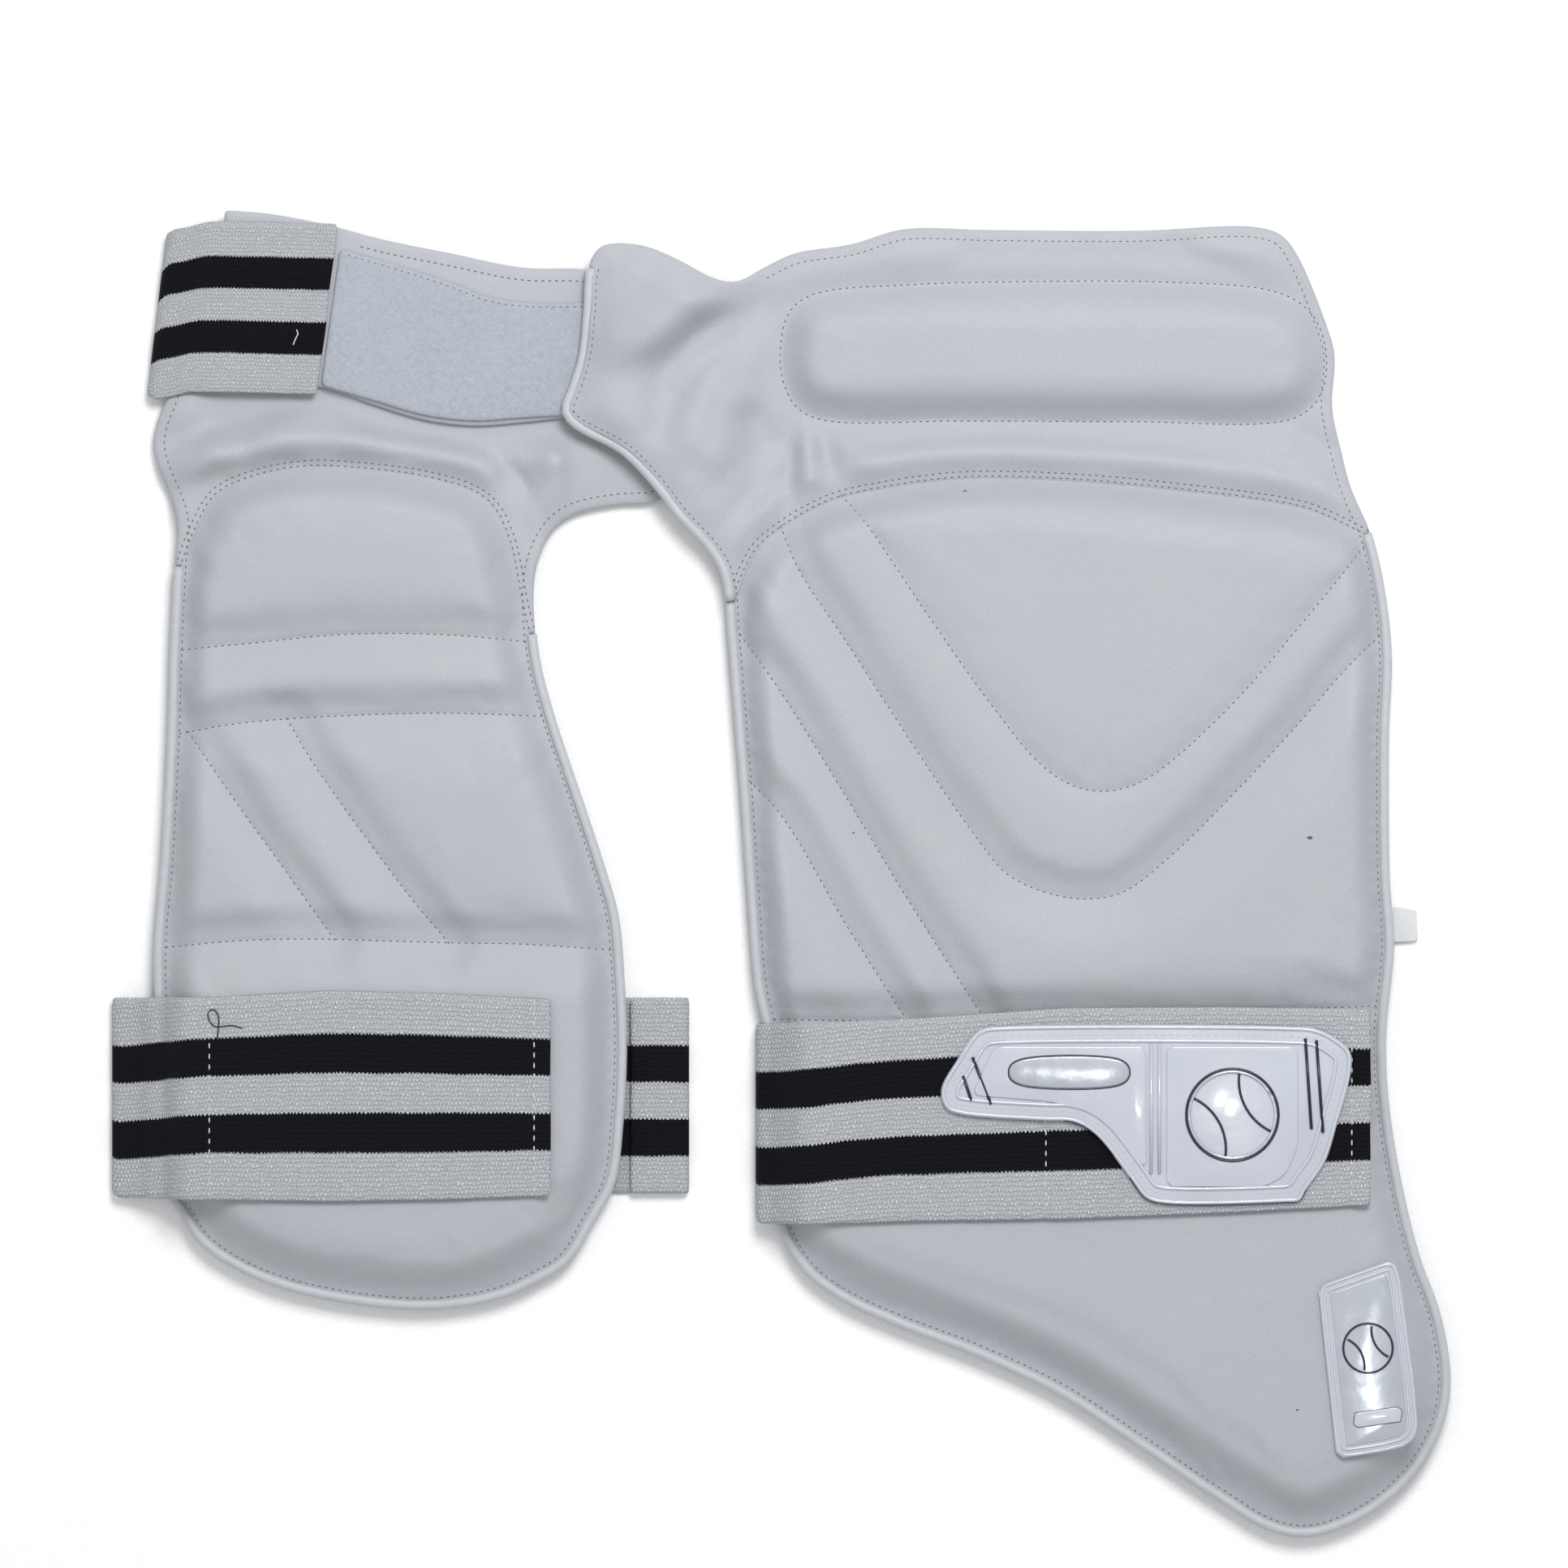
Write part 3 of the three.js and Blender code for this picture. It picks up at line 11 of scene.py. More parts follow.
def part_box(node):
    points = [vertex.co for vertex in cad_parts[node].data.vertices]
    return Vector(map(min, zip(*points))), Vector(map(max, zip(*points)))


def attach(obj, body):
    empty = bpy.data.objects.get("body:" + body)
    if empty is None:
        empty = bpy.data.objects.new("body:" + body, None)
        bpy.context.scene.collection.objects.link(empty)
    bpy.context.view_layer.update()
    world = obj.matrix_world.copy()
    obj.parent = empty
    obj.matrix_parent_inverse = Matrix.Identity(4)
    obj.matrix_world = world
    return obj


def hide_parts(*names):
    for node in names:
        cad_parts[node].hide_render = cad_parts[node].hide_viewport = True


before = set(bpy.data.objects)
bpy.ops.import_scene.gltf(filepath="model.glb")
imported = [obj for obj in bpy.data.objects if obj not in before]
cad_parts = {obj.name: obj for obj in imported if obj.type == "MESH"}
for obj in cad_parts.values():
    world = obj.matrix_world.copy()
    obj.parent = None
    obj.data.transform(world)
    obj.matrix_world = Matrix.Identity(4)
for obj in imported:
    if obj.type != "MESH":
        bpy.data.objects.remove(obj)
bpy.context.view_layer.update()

bl_info = {
    "name": "Cricket thigh guard",
    "version": (1, 0, 0),
    "blender": (4, 5, 0),
    "location": "View3D > Sidebar > Thigh guard",
    "description": "Dresses a thigh guard in quilted leatherette, elastic and trim",
    "category": "Object",
}

# Where the tables' shares start, and the levels of the layers, in metres
OUTER_CORNER = (-0.01911, -0.22944)
INNER_CORNER = (-0.21711, -0.15094)
COVER_LOW, COVER_HIGH = (corner.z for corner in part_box("outer_field_pad"))
PANEL_LOW, PANEL_HIGH = (corner.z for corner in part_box("outer_back_panel"))
YOKE_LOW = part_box("hip_yoke")[0].z
BAND_LOW, BAND_HIGH = (corner.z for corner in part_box("waist_band"))
LOOP_LOW, LOOP_HIGH = (corner.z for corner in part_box("loop_patch"))
BADGE_LOW, BADGE_HIGH = (corner.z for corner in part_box("strap_badge"))
PATCH_LOW, PATCH_HIGH = (corner.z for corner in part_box("corner_patch"))
CLEARANCE = 0.0003

# Rows of the tables below where the outlines turn
YOKE_CORNER = (0.768, 1.968)
FLAP_CORNER = (-0.84, 1.826)
FLAP_TIP = (-1, 1.255)
OUTER_TIP = (0.807, 0)
INNER_END = (0.568, 0)

# Room at the yokes' and the backs' edges, how far a yoke is sewn under its pad's seam, and the net's fineness
# along an outline, in metres or as a share of the net's step
YOKE_ROOM = 0.0006
BACK_ROOM = 0.0005
SEWN_UNDER = 0.0013
LINE_SHARE = 0.8

# Step along the mouldings' outlines, in metres
OUTLINE_STEP = 0.0012

# From a yoke's seam to its second row of stitches, in metres
SECOND_ROW = 0.0017

# Length and width of a stitch on the pads, of a finer one at the yoke's hem, on the band, the loop patch and
# the elastics, whose stitches lie a pitch of their own apart, and the loop patch's hem, in metres
STITCH = (0.0012, 0.00048)
FINE_STITCH = (0.0012, 0.00042)
BAND_STITCH = (0.0013, 0.0005)
LOOP_STITCH = (0.001, 0.0004)
ELASTIC_STITCH = (0.0024, 0.0006)
ELASTIC_PITCH = 0.0036
LOOP_HEM = 0.0015

# Outlines and seams. A row is (across, along): shares of the pad's width and length, negative across the
# flap's reach, and over one along the yoke's height.
OUTER_OUTLINE = [
    (-0.84, 1.826), (-0.76, 1.916), (-0.515, 1.923), (-0.294, 1.868), (-0.064, 1.79), (0.014, 1.777),
    (0.05, 1.832), (0.095, 1.894), (0.173, 1.929), (0.245, 1.99), (0.362, 1.987), (0.568, 1.984),
    (0.729, 2), (0.768, 1.968), (0.791, 1.884), (0.832, 1.6), (0.843, 1.487), (0.839, 1.277),
    (0.852, 1.1), (0.866, 0.987), (0.891, 0.947), (0.91, 0.89), (0.919, 0.829), (0.915, 0.76),
    (0.916, 0.623), (0.922, 0.558), (0.911, 0.474), (0.915, 0.409), (0.933, 0.333), (0.958, 0.264),
    (0.986, 0.211), (1, 0.146), (0.986, 0.1), (0.944, 0.053), (0.88, 0.018), (0.807, 0), (0.752, 0.005),
    (0.679, 0.034), (0.568, 0.085), (0.457, 0.134), (0.345, 0.17), (0.234, 0.199), (0.156, 0.224),
    (0.106, 0.251), (0.073, 0.291), (0.062, 0.34), (0.059, 0.455), (0.051, 0.484), (0.04, 0.516),
    (0.029, 0.608), (0.02, 0.699), (0.011, 0.776), (0.002, 0.852), (-0.025, 0.905), (-0.108, 0.928),
    (-0.294, 0.959), (-0.441, 0.989), (-0.637, 1.084), (-0.931, 1.19), (-1, 1.255), (-0.946, 1.358),
    (-0.892, 1.471), (-0.863, 1.648),
]
OUTER_ARC = [
    (0.017, 0.882), (0.024, 0.909), (0.045, 0.934), (0.078, 0.953), (0.145, 0.978), (0.212, 0.989),
    (0.323, 0.999), (0.457, 0.998), (0.612, 0.989), (0.791, 0.972), (0.835, 0.961), (0.88, 0.944),
]
UPPER_V = [
    (0.165, 0.98), (0.189, 0.959), (0.278, 0.869), (0.367, 0.783), (0.434, 0.728), (0.479, 0.708),
    (0.523, 0.703), (0.568, 0.711), (0.612, 0.731), (0.702, 0.789), (0.791, 0.86), (0.88, 0.937),
]
LOWER_V = [
    (0.078, 0.951), (0.1, 0.913), (0.167, 0.843), (0.256, 0.749), (0.345, 0.66), (0.39, 0.624),
    (0.457, 0.605), (0.501, 0.602), (0.546, 0.608), (0.612, 0.642), (0.702, 0.703), (0.791, 0.769),
    (0.857, 0.821), (0.914, 0.856),
]
SIDE_SEAM = [(0.023, 0.86), (0.078, 0.795), (0.167, 0.697), (0.256, 0.596), (0.352, 0.493)]
CORNER_SEAM = [(0.033, 0.718), (0.078, 0.68), (0.167, 0.577), (0.254, 0.489)]
STRAP_SEAM = [(0.056, 0.485), (0.234, 0.488), (0.457, 0.493), (0.679, 0.497), (0.915, 0.499)]
BOLSTER = [
    (0.122, 1.723), (0.256, 1.761), (0.434, 1.774), (0.612, 1.771), (0.746, 1.742), (0.791, 1.69),
    (0.818, 1.6), (0.829, 1.439), (0.818, 1.31), (0.791, 1.239), (0.746, 1.21), (0.568, 1.216),
    (0.323, 1.219), (0.134, 1.223), (0.1, 1.271), (0.08, 1.374), (0.076, 1.503), (0.089, 1.655),
]
INNER_OUTLINE = [
    (0.043, 1.547), (0.029, 1.282), (0.009, 1.193), (-0.003, 1.089), (0.012, 0.993), (0.031, 0.968),
    (0.05, 0.936), (0.045, 0.888), (0.036, 0.782), (0.031, 0.686), (0.017, 0.533), (0.002, 0.432),
    (0.005, 0.341), (0.012, 0.226), (0.034, 0.132), (0.058, 0.114), (0.094, 0.081), (0.183, 0.046),
    (0.32, 0.018), (0.568, 0), (0.731, 0.012), (0.825, 0.035), (0.885, 0.057), (0.937, 0.106),
    (0.979, 0.148), (0.998, 0.226), (1.005, 0.313), (1, 0.389), (0.988, 0.466), (0.962, 0.519),
    (0.92, 0.591), (0.885, 0.648), (0.851, 0.706), (0.822, 0.768), (0.81, 0.84), (0.817, 0.883),
    (0.851, 0.924), (0.894, 0.941), (0.988, 0.952), (1.07, 0.956), (1.115, 0.984), (1.116, 1.231),
    (1.057, 1.421), (0.856, 1.491), (0.577, 1.484), (0.363, 1.595),
]
INNER_ARC = [
    (0.065, 0.878), (0.086, 0.921), (0.132, 0.966), (0.2, 0.986), (0.32, 1), (0.44, 0.998),
    (0.577, 0.988), (0.68, 0.971), (0.723, 0.952), (0.757, 0.912), (0.783, 0.84), (0.791, 0.797),
]
UPPER_BAND_SEAM = [(0.038, 0.778), (0.2, 0.789), (0.406, 0.8), (0.611, 0.8), (0.791, 0.787)]
LOWER_BAND_SEAM = [(0.031, 0.686), (0.2, 0.696), (0.406, 0.704), (0.611, 0.707), (0.834, 0.701)]
LOW_SEAM = [(0.012, 0.434), (0.2, 0.439), (0.372, 0.44), (0.611, 0.436), (0.8, 0.434), (0.971, 0.43)]
WEDGE_SEAM = [(0.077, 0.685), (0.132, 0.641), (0.2, 0.586), (0.269, 0.533), (0.392, 0.44)]
RIB_SEAM = [(0.286, 0.699), (0.337, 0.653), (0.406, 0.597), (0.543, 0.493), (0.62, 0.437)]
BAND_UPPER = [
    (0.152, 2), (0.252, 1.984), (0.368, 1.943), (0.491, 1.883), (0.628, 1.832), (0.783, 1.775),
    (0.911, 1.769), (1.057, 1.722),
]
BAND_LOWER = [
    (0.152, 1.294), (0.363, 1.304), (0.457, 1.244), (0.577, 1.177), (0.68, 1.155), (0.783, 1.168),
    (0.92, 1.193), (1.057, 1.193),
]
LOOP_UPPER = [(0.397, 1.848), (0.543, 1.769), (0.646, 1.706), (0.714, 1.658), (0.817, 1.636), (1.039, 1.649)]
LOOP_LOWER = [(0.357, 1.312), (0.457, 1.26), (0.577, 1.196), (0.68, 1.174), (0.783, 1.186), (1.039, 1.212)]

# Folds of the soft yokes. A row is from, to, rise in metres (a valley is below zero), and how far the fold
# reaches to the left and to the right of its line, in metres.
HIP_FOLDS = [
    ((0.02, 1.79), (-0.12, 1.7), 0.0042, 0.006, 0.016),
    ((-0.12, 1.7), (-0.3, 1.6), 0.0044, 0.006, 0.017),
    ((-0.3, 1.6), (-0.46, 1.53), 0.0034, 0.006, 0.015),
    ((-0.46, 1.53), (-0.6, 1.5), 0.0018, 0.006, 0.012),
    ((0.05, 1.66), (-0.14, 1.53), -0.003, 0.008, 0.01),
    ((-0.14, 1.53), (-0.3, 1.4), -0.003, 0.009, 0.011),
    ((-0.3, 1.4), (-0.4, 1.2), -0.0026, 0.009, 0.01),
    ((-0.1, 1.42), (-0.22, 1.15), 0.0022, 0.008, 0.009),
    ((-0.45, 1.42), (-0.55, 1.2), 0.0014, 0.01, 0.012),
    ((0.04, 1.22), (0.06, 1.15), -0.0032, 0.007, 0.008),
    ((0.02, 1.3), (-0.03, 1.08), 0.0022, 0.006, 0.007),
    ((0.095, 1.21), (0.088, 0.97), -0.0026, 0.0035, 0.004),
    ((0.112, 1.18), (0.113, 1.0), 0.0024, 0.0035, 0.0035),
    ((0.134, 1.17), (0.147, 1.02), -0.0024, 0.004, 0.004),
    ((0.165, 1.16), (0.2, 1.04), 0.0014, 0.005, 0.005),
    ((0.345, 1.89), (0.62, 1.885), -0.0022, 0.006, 0.007),
    ((0.62, 1.885), (0.7, 1.81), -0.002, 0.005, 0.007),
    ((0.25, 1.1), (0.7, 1.1), 0.0005, 0.009, 0.012),
    ((0.8, 1.16), (0.848, 1.07), -0.0028, 0.006, 0.007),
    ((0.78, 1.12), (0.83, 1.03), 0.0014, 0.004, 0.004),
    ((-0.75, 1.5), (-0.6, 1.15), 0.0016, 0.013, 0.014),
    ((-0.1, 1.84), (-0.5, 1.84), 0.0012, 0.009, 0.011),
]
INNER_FOLDS = [
    ((0.045, 0.965), (0.14, 0.99), -0.003, 0.004, 0.005),
    ((0.02, 1.0), (0.13, 1.06), 0.004, 0.006, 0.007),
    ((0.13, 1.06), (0.27, 1.13), 0.004, 0.007, 0.009),
    ((0.27, 1.13), (0.45, 1.12), 0.0028, 0.009, 0.01),
    ((0.45, 1.12), (0.62, 1.09), 0.0014, 0.009, 0.01),
    ((0.03, 1.06), (0.13, 1.14), -0.003, 0.008, 0.006),
    ((0.13, 1.14), (0.27, 1.22), -0.0026, 0.009, 0.007),
    ((0.03, 1.25), (0.13, 1.12), 0.0024, 0.006, 0.007),
    ((0.73, 1.04), (0.765, 0.98), -0.003, 0.004, 0.005),
    ((0.765, 0.98), (0.8, 0.91), -0.003, 0.004, 0.005),
    ((0.82, 1.1), (0.852, 1.02), 0.003, 0.005, 0.006),
    ((0.852, 1.02), (0.85, 0.95), 0.0026, 0.005, 0.006),
    ((0.6, 1.13), (0.72, 1.04), 0.0026, 0.008, 0.01),
]

# Small gathers of the covers, in the same form
OUTER_GATHERS = [
    ((0.03, 0.925), (0.075, 0.885), -0.0011, 0.0016, 0.0022),
    ((0.045, 0.935), (0.105, 0.905), -0.0009, 0.0016, 0.002),
    ((0.025, 0.895), (0.055, 0.862), -0.0009, 0.0018, 0.002),
    ((0.03, 0.84), (0.075, 0.815), -0.0006, 0.0025, 0.003),
    ((0.25, 0.965), (0.42, 0.975), 0.0004, 0.006, 0.008),
    ((0.84, 0.93), (0.87, 0.9), -0.0007, 0.002, 0.0025),
    ((0.05, 0.45), (0.09, 0.44), -0.0008, 0.0025, 0.003),
    ((0.06, 0.28), (0.11, 0.29), -0.0007, 0.0025, 0.003),
    ((0.5, 0.08), (0.55, 0.14), -0.0005, 0.003, 0.004),
    ((0.93, 0.3), (0.89, 0.33), -0.0006, 0.003, 0.003),
]
INNER_GATHERS = [
    ((0.07, 0.9), (0.12, 0.87), -0.0009, 0.0018, 0.0022),
    ((0.1, 0.95), (0.15, 0.91), -0.0008, 0.0018, 0.0022),
    ((0.76, 0.9), (0.72, 0.87), -0.0008, 0.0018, 0.0022),
    ((0.02, 0.5), (0.08, 0.51), -0.0007, 0.0025, 0.003),
    ((0.02, 0.4), (0.07, 0.39), -0.0006, 0.0025, 0.003),
    ((0.1, 0.1), (0.17, 0.15), -0.0006, 0.003, 0.003),
    ((0.86, 0.66), (0.8, 0.63), -0.0006, 0.0025, 0.003),
]

# Badge outline and panels, as shares of its length and width from its lower left corner
BADGE = [
    (0, 0.64), (0.012, 0.535), (0.042, 0.503), (0.248, 0.465), (0.323, 0.456), (0.376, 0.387),
    (0.459, 0.147), (0.497, 0.032), (0.535, 0), (0.838, 0.005), (0.875, 0.014), (0.891, 0.078),
    (0.937, 0.235), (0.966, 0.447), (1, 0.746), (0.998, 0.853), (0.966, 0.926), (0.913, 0.986),
    (0.838, 1), (0.156, 1), (0.103, 0.986), (0.079, 0.949), (0.042, 0.82),
]
BADGE_LEFT_PANEL = [
    (0.13, 0.885), (0.5, 0.885), (0.5, 0.19), (0.43, 0.385), (0.37, 0.51), (0.265, 0.575), (0.075, 0.61),
]
BADGE_RIGHT_PANEL = [(0.55, 0.885), (0.87, 0.885), (0.87, 0.32), (0.84, 0.16), (0.79, 0.095), (0.55, 0.095)]
BADGE_BAR = [
    (0.17, 0.77), (0.2, 0.81), (0.43, 0.81), (0.455, 0.77), (0.455, 0.71), (0.43, 0.67), (0.2, 0.67),
    (0.17, 0.71),
]
BADGE_BARS = [
    ((0.888, 0.93), (0.903, 0.42)), ((0.915, 0.92), (0.931, 0.4)), ((0.077, 0.825), (0.122, 0.56)),
    ((0.054, 0.72), (0.074, 0.58)),
]
BADGE_PLACE = (0.296, 0.317)
PATCH_PLACE = (0.884, 0.161)

# Corner patch outline, as shares of its width and length from its middle
PATCH = [
    (-0.525, 0.416), (0.241, 0.549), (0.298, 0.468), (0.446, -0.059), (0.488, -0.303), (0.405, -0.376),
    (0.117, -0.412), (-0.336, -0.445), (-0.377, -0.262), (-0.459, 0.103),
]

# Its small bar, in metres from its middle
PATCH_BAR = [
    (-0.0075, -0.013), (0.0075, -0.013), (0.0085, -0.0145), (0.0075, -0.018), (-0.0075, -0.018),
    (-0.0085, -0.0165),
]

# Small dark specks on the outer guard, each with its half length in metres
SPECKS = [
    ((0.176, 0.664), 0.0006), ((0.802, 0.6595), 0.0011), ((0.785, 0.123), 0.0006), ((0.33, 0.985), 0.0008),
    ((0.52, 0.42), 0.0004),
]

# The two loose threads, in rows of the inner guard's table
DARK_THREAD = [
    (0.144, 0.322), (0.146, 0.351), (0.135, 0.358), (0.125, 0.354), (0.127, 0.345), (0.139, 0.338),
    (0.175, 0.339), (0.197, 0.336),
]
LIGHT_THREAD = [(0.306, 1.53), (0.309, 1.515), (0.303, 1.49), (0.299, 1.47)]

# How far a strap's two edges stray from straight: share of its front, then low and high, as shares of width
STRAP_EDGES = [(0, 0.02, 0), (0.25, 0.02, 0.012), (0.5, 0.03, 0.045), (0.75, 0.02, 0.03), (1, 0, 0)]


def measure(name, text, value):
    return FloatProperty(name=name, description=text, default=value, unit="LENGTH")


def colour(name, text, value):
    return FloatVectorProperty(
        name=name, description=text, default=value, subtype="COLOR", size=3, min=0, max=1,
    )


class GuardSizes(bpy.types.PropertyGroup):
    """Sizes of the thigh guard's looks."""
    outer_width: measure("Outer width", "Width of the outer pad", 0.251)
    outer_length: measure("Outer length", "Length of the outer pad", 0.367)
    hip_height: measure("Hip yoke height", "Height of the hip yoke above the pad", 0.087)
    flap_reach: measure("Flap reach", "How far the flap reaches to the left", 0.057)
    inner_width: measure("Inner width", "Width of the inner pad", 0.1635)
    inner_length: measure("Inner length", "Length of the inner pad", 0.292)
    inner_height: measure("Inner yoke height", "Height of the inner yoke above the pad", 0.0885)
    hem: measure("Hem width", "From the edge to its row of stitches", 0.0044)
    tuck: measure("Tuck", "From the edge to the end of the cover, under the piping", 0.0024)
    flange: measure("Flange", "Flat strip of the cover along the piping", 0.0021)
    pinch: measure("Pinch", "How deep the stitches pull the cover in", 0.0007)
    piping: measure("Piping", "Diameter of the piping", 0.0036)
    seam_edge: measure("Seam thickness", "Thickness of a pad where it is sewn down", 0.0022)
    seam_depth: FloatProperty(
        name="Seam depth", description="How deep a channel is, as a share of the foam", default=0.36,
    )
    seam_flange: measure("Seam flange", "Flat strip of a channel above its seam", 0.0026)
    seam_bevel: measure("Seam bevel", "From the flange up to the top of the foam", 0.0096)
    seam_slope: measure("Seam slope", "From a seam to the foam's top below it", 0.0165)
    arc_bevel: measure("Arc bevel", "From the yoke's seam to the top of the foam", 0.0135)
    side_bevel: measure("Side bevel", "From a side seam to the top of the foam", 0.0085)
    tail_bevel: measure("Tail bevel", "From the tail's seam to the top of the foam", 0.0145)
    bolster_bevel: measure("Bolster bevel", "From the bolster's seam to its top", 0.0125)
    swelling: measure("Swelling", "How far the fabric may swell from its cut shape", 0.0009)
    yoke: measure("Yoke thickness", "Thickness of the yokes", 0.0022)
    strap: measure("Strap thickness", "Thickness of the elastics", 0.0019)
    strap_width: measure("Thigh strap width", "Width of the thigh straps", 0.068)
    elastic_width: measure("Waist elastic width", "Width of the waist elastic", 0.057)
    stitch_pitch: measure("Stitch pitch", "From one stitch to the next", 0.00235)
    badge_length: measure("Badge length", "Length of the strap's badge", 0.141)
    badge_width: measure("Badge width", "Width of the strap's badge", 0.061)
    patch_length: measure("Patch length", "Length of the corner patch", 0.069)
    patch_width: measure("Patch width", "Width of the corner patch", 0.034)
    net: measure("Net step", "Step of the net that the soft pieces are made on", 0.0033)


class GuardColours(bpy.types.PropertyGroup):
    """Colours of the thigh guard's materials."""
    cover: colour("Leatherette", "The pads' and yokes' leatherette", (0.392, 0.404, 0.433))
    binding: colour("Binding", "The piping", (0.45, 0.46, 0.487))
    lining: colour("Lining", "The cloth of the backs", (0.39, 0.40, 0.42))
    elastic: colour("Elastic", "The white of the elastics", (0.405, 0.42, 0.442))
    stripe: colour("Stripe", "The elastics' two stripes", (0.0035, 0.0035, 0.006))
    pile: colour("Loop pile", "The loop patch at the waist", (0.345, 0.37, 0.41))
    clear: colour("Clear moulding", "The strap's badge", (0.46, 0.485, 0.54))
    silver: colour("Silver moulding", "The corner patch", (0.43, 0.455, 0.50))
    ink: colour("Ink", "The dark lines of the mouldings", (0.012, 0.013, 0.035))
    # The thread's dark grey is partly its own colour and partly painted shade of the stitch holes; the specks
    # share this colour
    thread: colour("Thread", "The stitches on the leatherette", (0.11, 0.112, 0.12))
    floor: colour("Floor", "The floor", (0.93, 0.93, 0.93))


def sizes():
    return bpy.context.scene.guard_sizes


def tints():
    return bpy.context.scene.guard_colours


def on_outer(row):
    size = sizes()
    across, along = row
    x = across * (size.flap_reach if across < 0 else size.outer_width)
    y = along * size.outer_length if along < 1 else size.outer_length + (along - 1) * size.hip_height
    return np.array((OUTER_CORNER[0] + x, OUTER_CORNER[1] + y))


def on_inner(row):
    size = sizes()
    across, along = row
    y = along * size.inner_length if along < 1 else size.inner_length + (along - 1) * size.inner_height
    return np.array((INNER_CORNER[0] + across * size.inner_width, INNER_CORNER[1] + y))


# Lines are arrays of points, measured along their length

def evenly(line, step, closed=False):
    """The same line with its points a step apart"""
    line = np.asarray(line, float)
    if closed:
        line = np.vstack([line, line[:1]])
    reach = np.r_[0, np.cumsum(np.linalg.norm(np.diff(line, axis=0), axis=1))]
    count = max(2, round(reach[-1] / step))
    marks = np.linspace(0, reach[-1], count + 1)
    if closed:
        marks = marks[:-1]
    return np.column_stack([np.interp(marks, reach, axis) for axis in line.T])


def smooth(points, step, closed=False):
    """A round line through the points"""
    points = [np.asarray(point, float) for point in points]
    count = len(points)
    line = []
    for i in range(count if closed else count - 1):
        if closed:
            four = [points[(i + k) % count] for k in (-1, 0, 1, 2)]
        else:
            first = points[i - 1] if i else 2 * points[0] - points[1]
            last = points[i + 2] if i + 2 < count else 2 * points[-1] - points[-2]
            four = [first, points[i], points[i + 1], last]
        knots = [0.0]
        for a, b in zip(four, four[1:]):
            knots.append(knots[-1] + max(1e-6, np.linalg.norm(b - a)) ** 0.5)
        for t in np.linspace(knots[1], knots[2], 8, endpoint=False):
            level = four
            for spans in (((0, 1), (1, 2), (2, 3)), ((0, 2), (1, 3)), ((1, 2),)):
                shares = [(t - knots[start]) / (knots[end] - knots[start]) for start, end in spans]
                level = [level[k] * (1 - share) + level[k + 1] * share for k, share in enumerate(shares)]
            line.append(level[0])
    if not closed:
        line.append(points[-1])
    return evenly(line, step, closed)


def nearest(points, line, closed=False):
    """Each point's distance to a line, and the share of the line where it is nearest"""
    points = np.atleast_2d(points)
    line = np.asarray(line)
    start = line if closed else line[:-1]
    end = np.roll(line, -1, axis=0) if closed else line[1:]
    step = end - start
    length = np.linalg.norm(step, axis=1)
    reach = np.r_[0, np.cumsum(length)]
    squared = np.maximum(length ** 2, 1e-18)
    away = np.empty(len(points))
    share = np.empty(len(points))
    for i in range(0, len(points), 1500):
        block = points[i:i + 1500, None, :] - start[None]
        part = np.clip((block * step).sum(2) / squared, 0, 1)
        gap = np.linalg.norm(block - part[..., None] * step, axis=2)
        best = gap.argmin(1)
        rows = np.arange(len(best))
        away[i:i + 1500] = gap[rows, best]
        share[i:i + 1500] = (reach[best] + part[rows, best] * length[best]) / reach[-1]
    return away, share


def leftward(points, line):
    """Which points lie to the left of a line's direction"""
    _, share = nearest(points, line)
    reach = np.r_[0, np.cumsum(np.linalg.norm(np.diff(line, axis=0), axis=1))]
    reach /= reach[-1]
    foot = np.column_stack([np.interp(share, reach, axis) for axis in line.T])
    ahead = np.column_stack([
        np.interp(share + 0.01, reach, axis) - np.interp(share - 0.01, reach, axis) for axis in line.T
    ])
    gap = points - foot
    return ahead[:, 0] * gap[:, 1] > ahead[:, 1] * gap[:, 0]


def within(points, ring):
    """Which points lie inside a ring"""
    points = np.atleast_2d(points)
    odd = np.zeros(len(points), bool)
    for a, b in zip(ring, np.roll(ring, 1, axis=0)):
        crosses = (a[1] > points[:, 1]) != (b[1] > points[:, 1])
        if a[1] != b[1]:
            odd ^= crosses & (points[:, 0] < a[0] + (b[0] - a[0]) * (points[:, 1] - a[1]) / (b[1] - a[1]))
    return odd


def share_of(line, point, closed=False):
    return nearest(np.array([point]), line, closed)[1][0]


def stretch(line, start, end, closed=False):
    """The part of a line between two of its points, the shorter way on a closed one"""
    step = np.linalg.norm(line[1] - line[0])
    first, last = share_of(line, start, closed), share_of(line, end, closed)
    whole = np.vstack([line, line[:1]]) if closed else line
    reach = np.r_[0, np.cumsum(np.linalg.norm(np.diff(whole, axis=0), axis=1))]
    if closed and abs(last - first) > 0.5:
        last += 1 if last < first else -1
    count = max(2, round(abs(last - first) * reach[-1] / step))
    marks = np.linspace(first, last, count + 1) * reach[-1]
    if closed:
        marks = marks % reach[-1]
    return np.column_stack([np.interp(marks, reach, axis) for axis in whole.T])


def parts(ring, stops):
    """The parts of a ring from each stop to the next"""
    return [stretch(ring, start, end, True) for start, end in zip(stops, stops[1:])]


def beside(line, offset, closed=False):
    """A line moved sideways, to its left where the offset is over zero"""
    line = np.asarray(line)
    if closed:
        along = np.roll(line, -1, axis=0) - np.roll(line, 1, axis=0)
    else:
        along = np.gradient(line, axis=0)
    along = along / np.maximum(np.linalg.norm(along, axis=1), 1e-12)[:, None]
    return line + offset * np.column_stack([-along[:, 1], along[:, 0]])


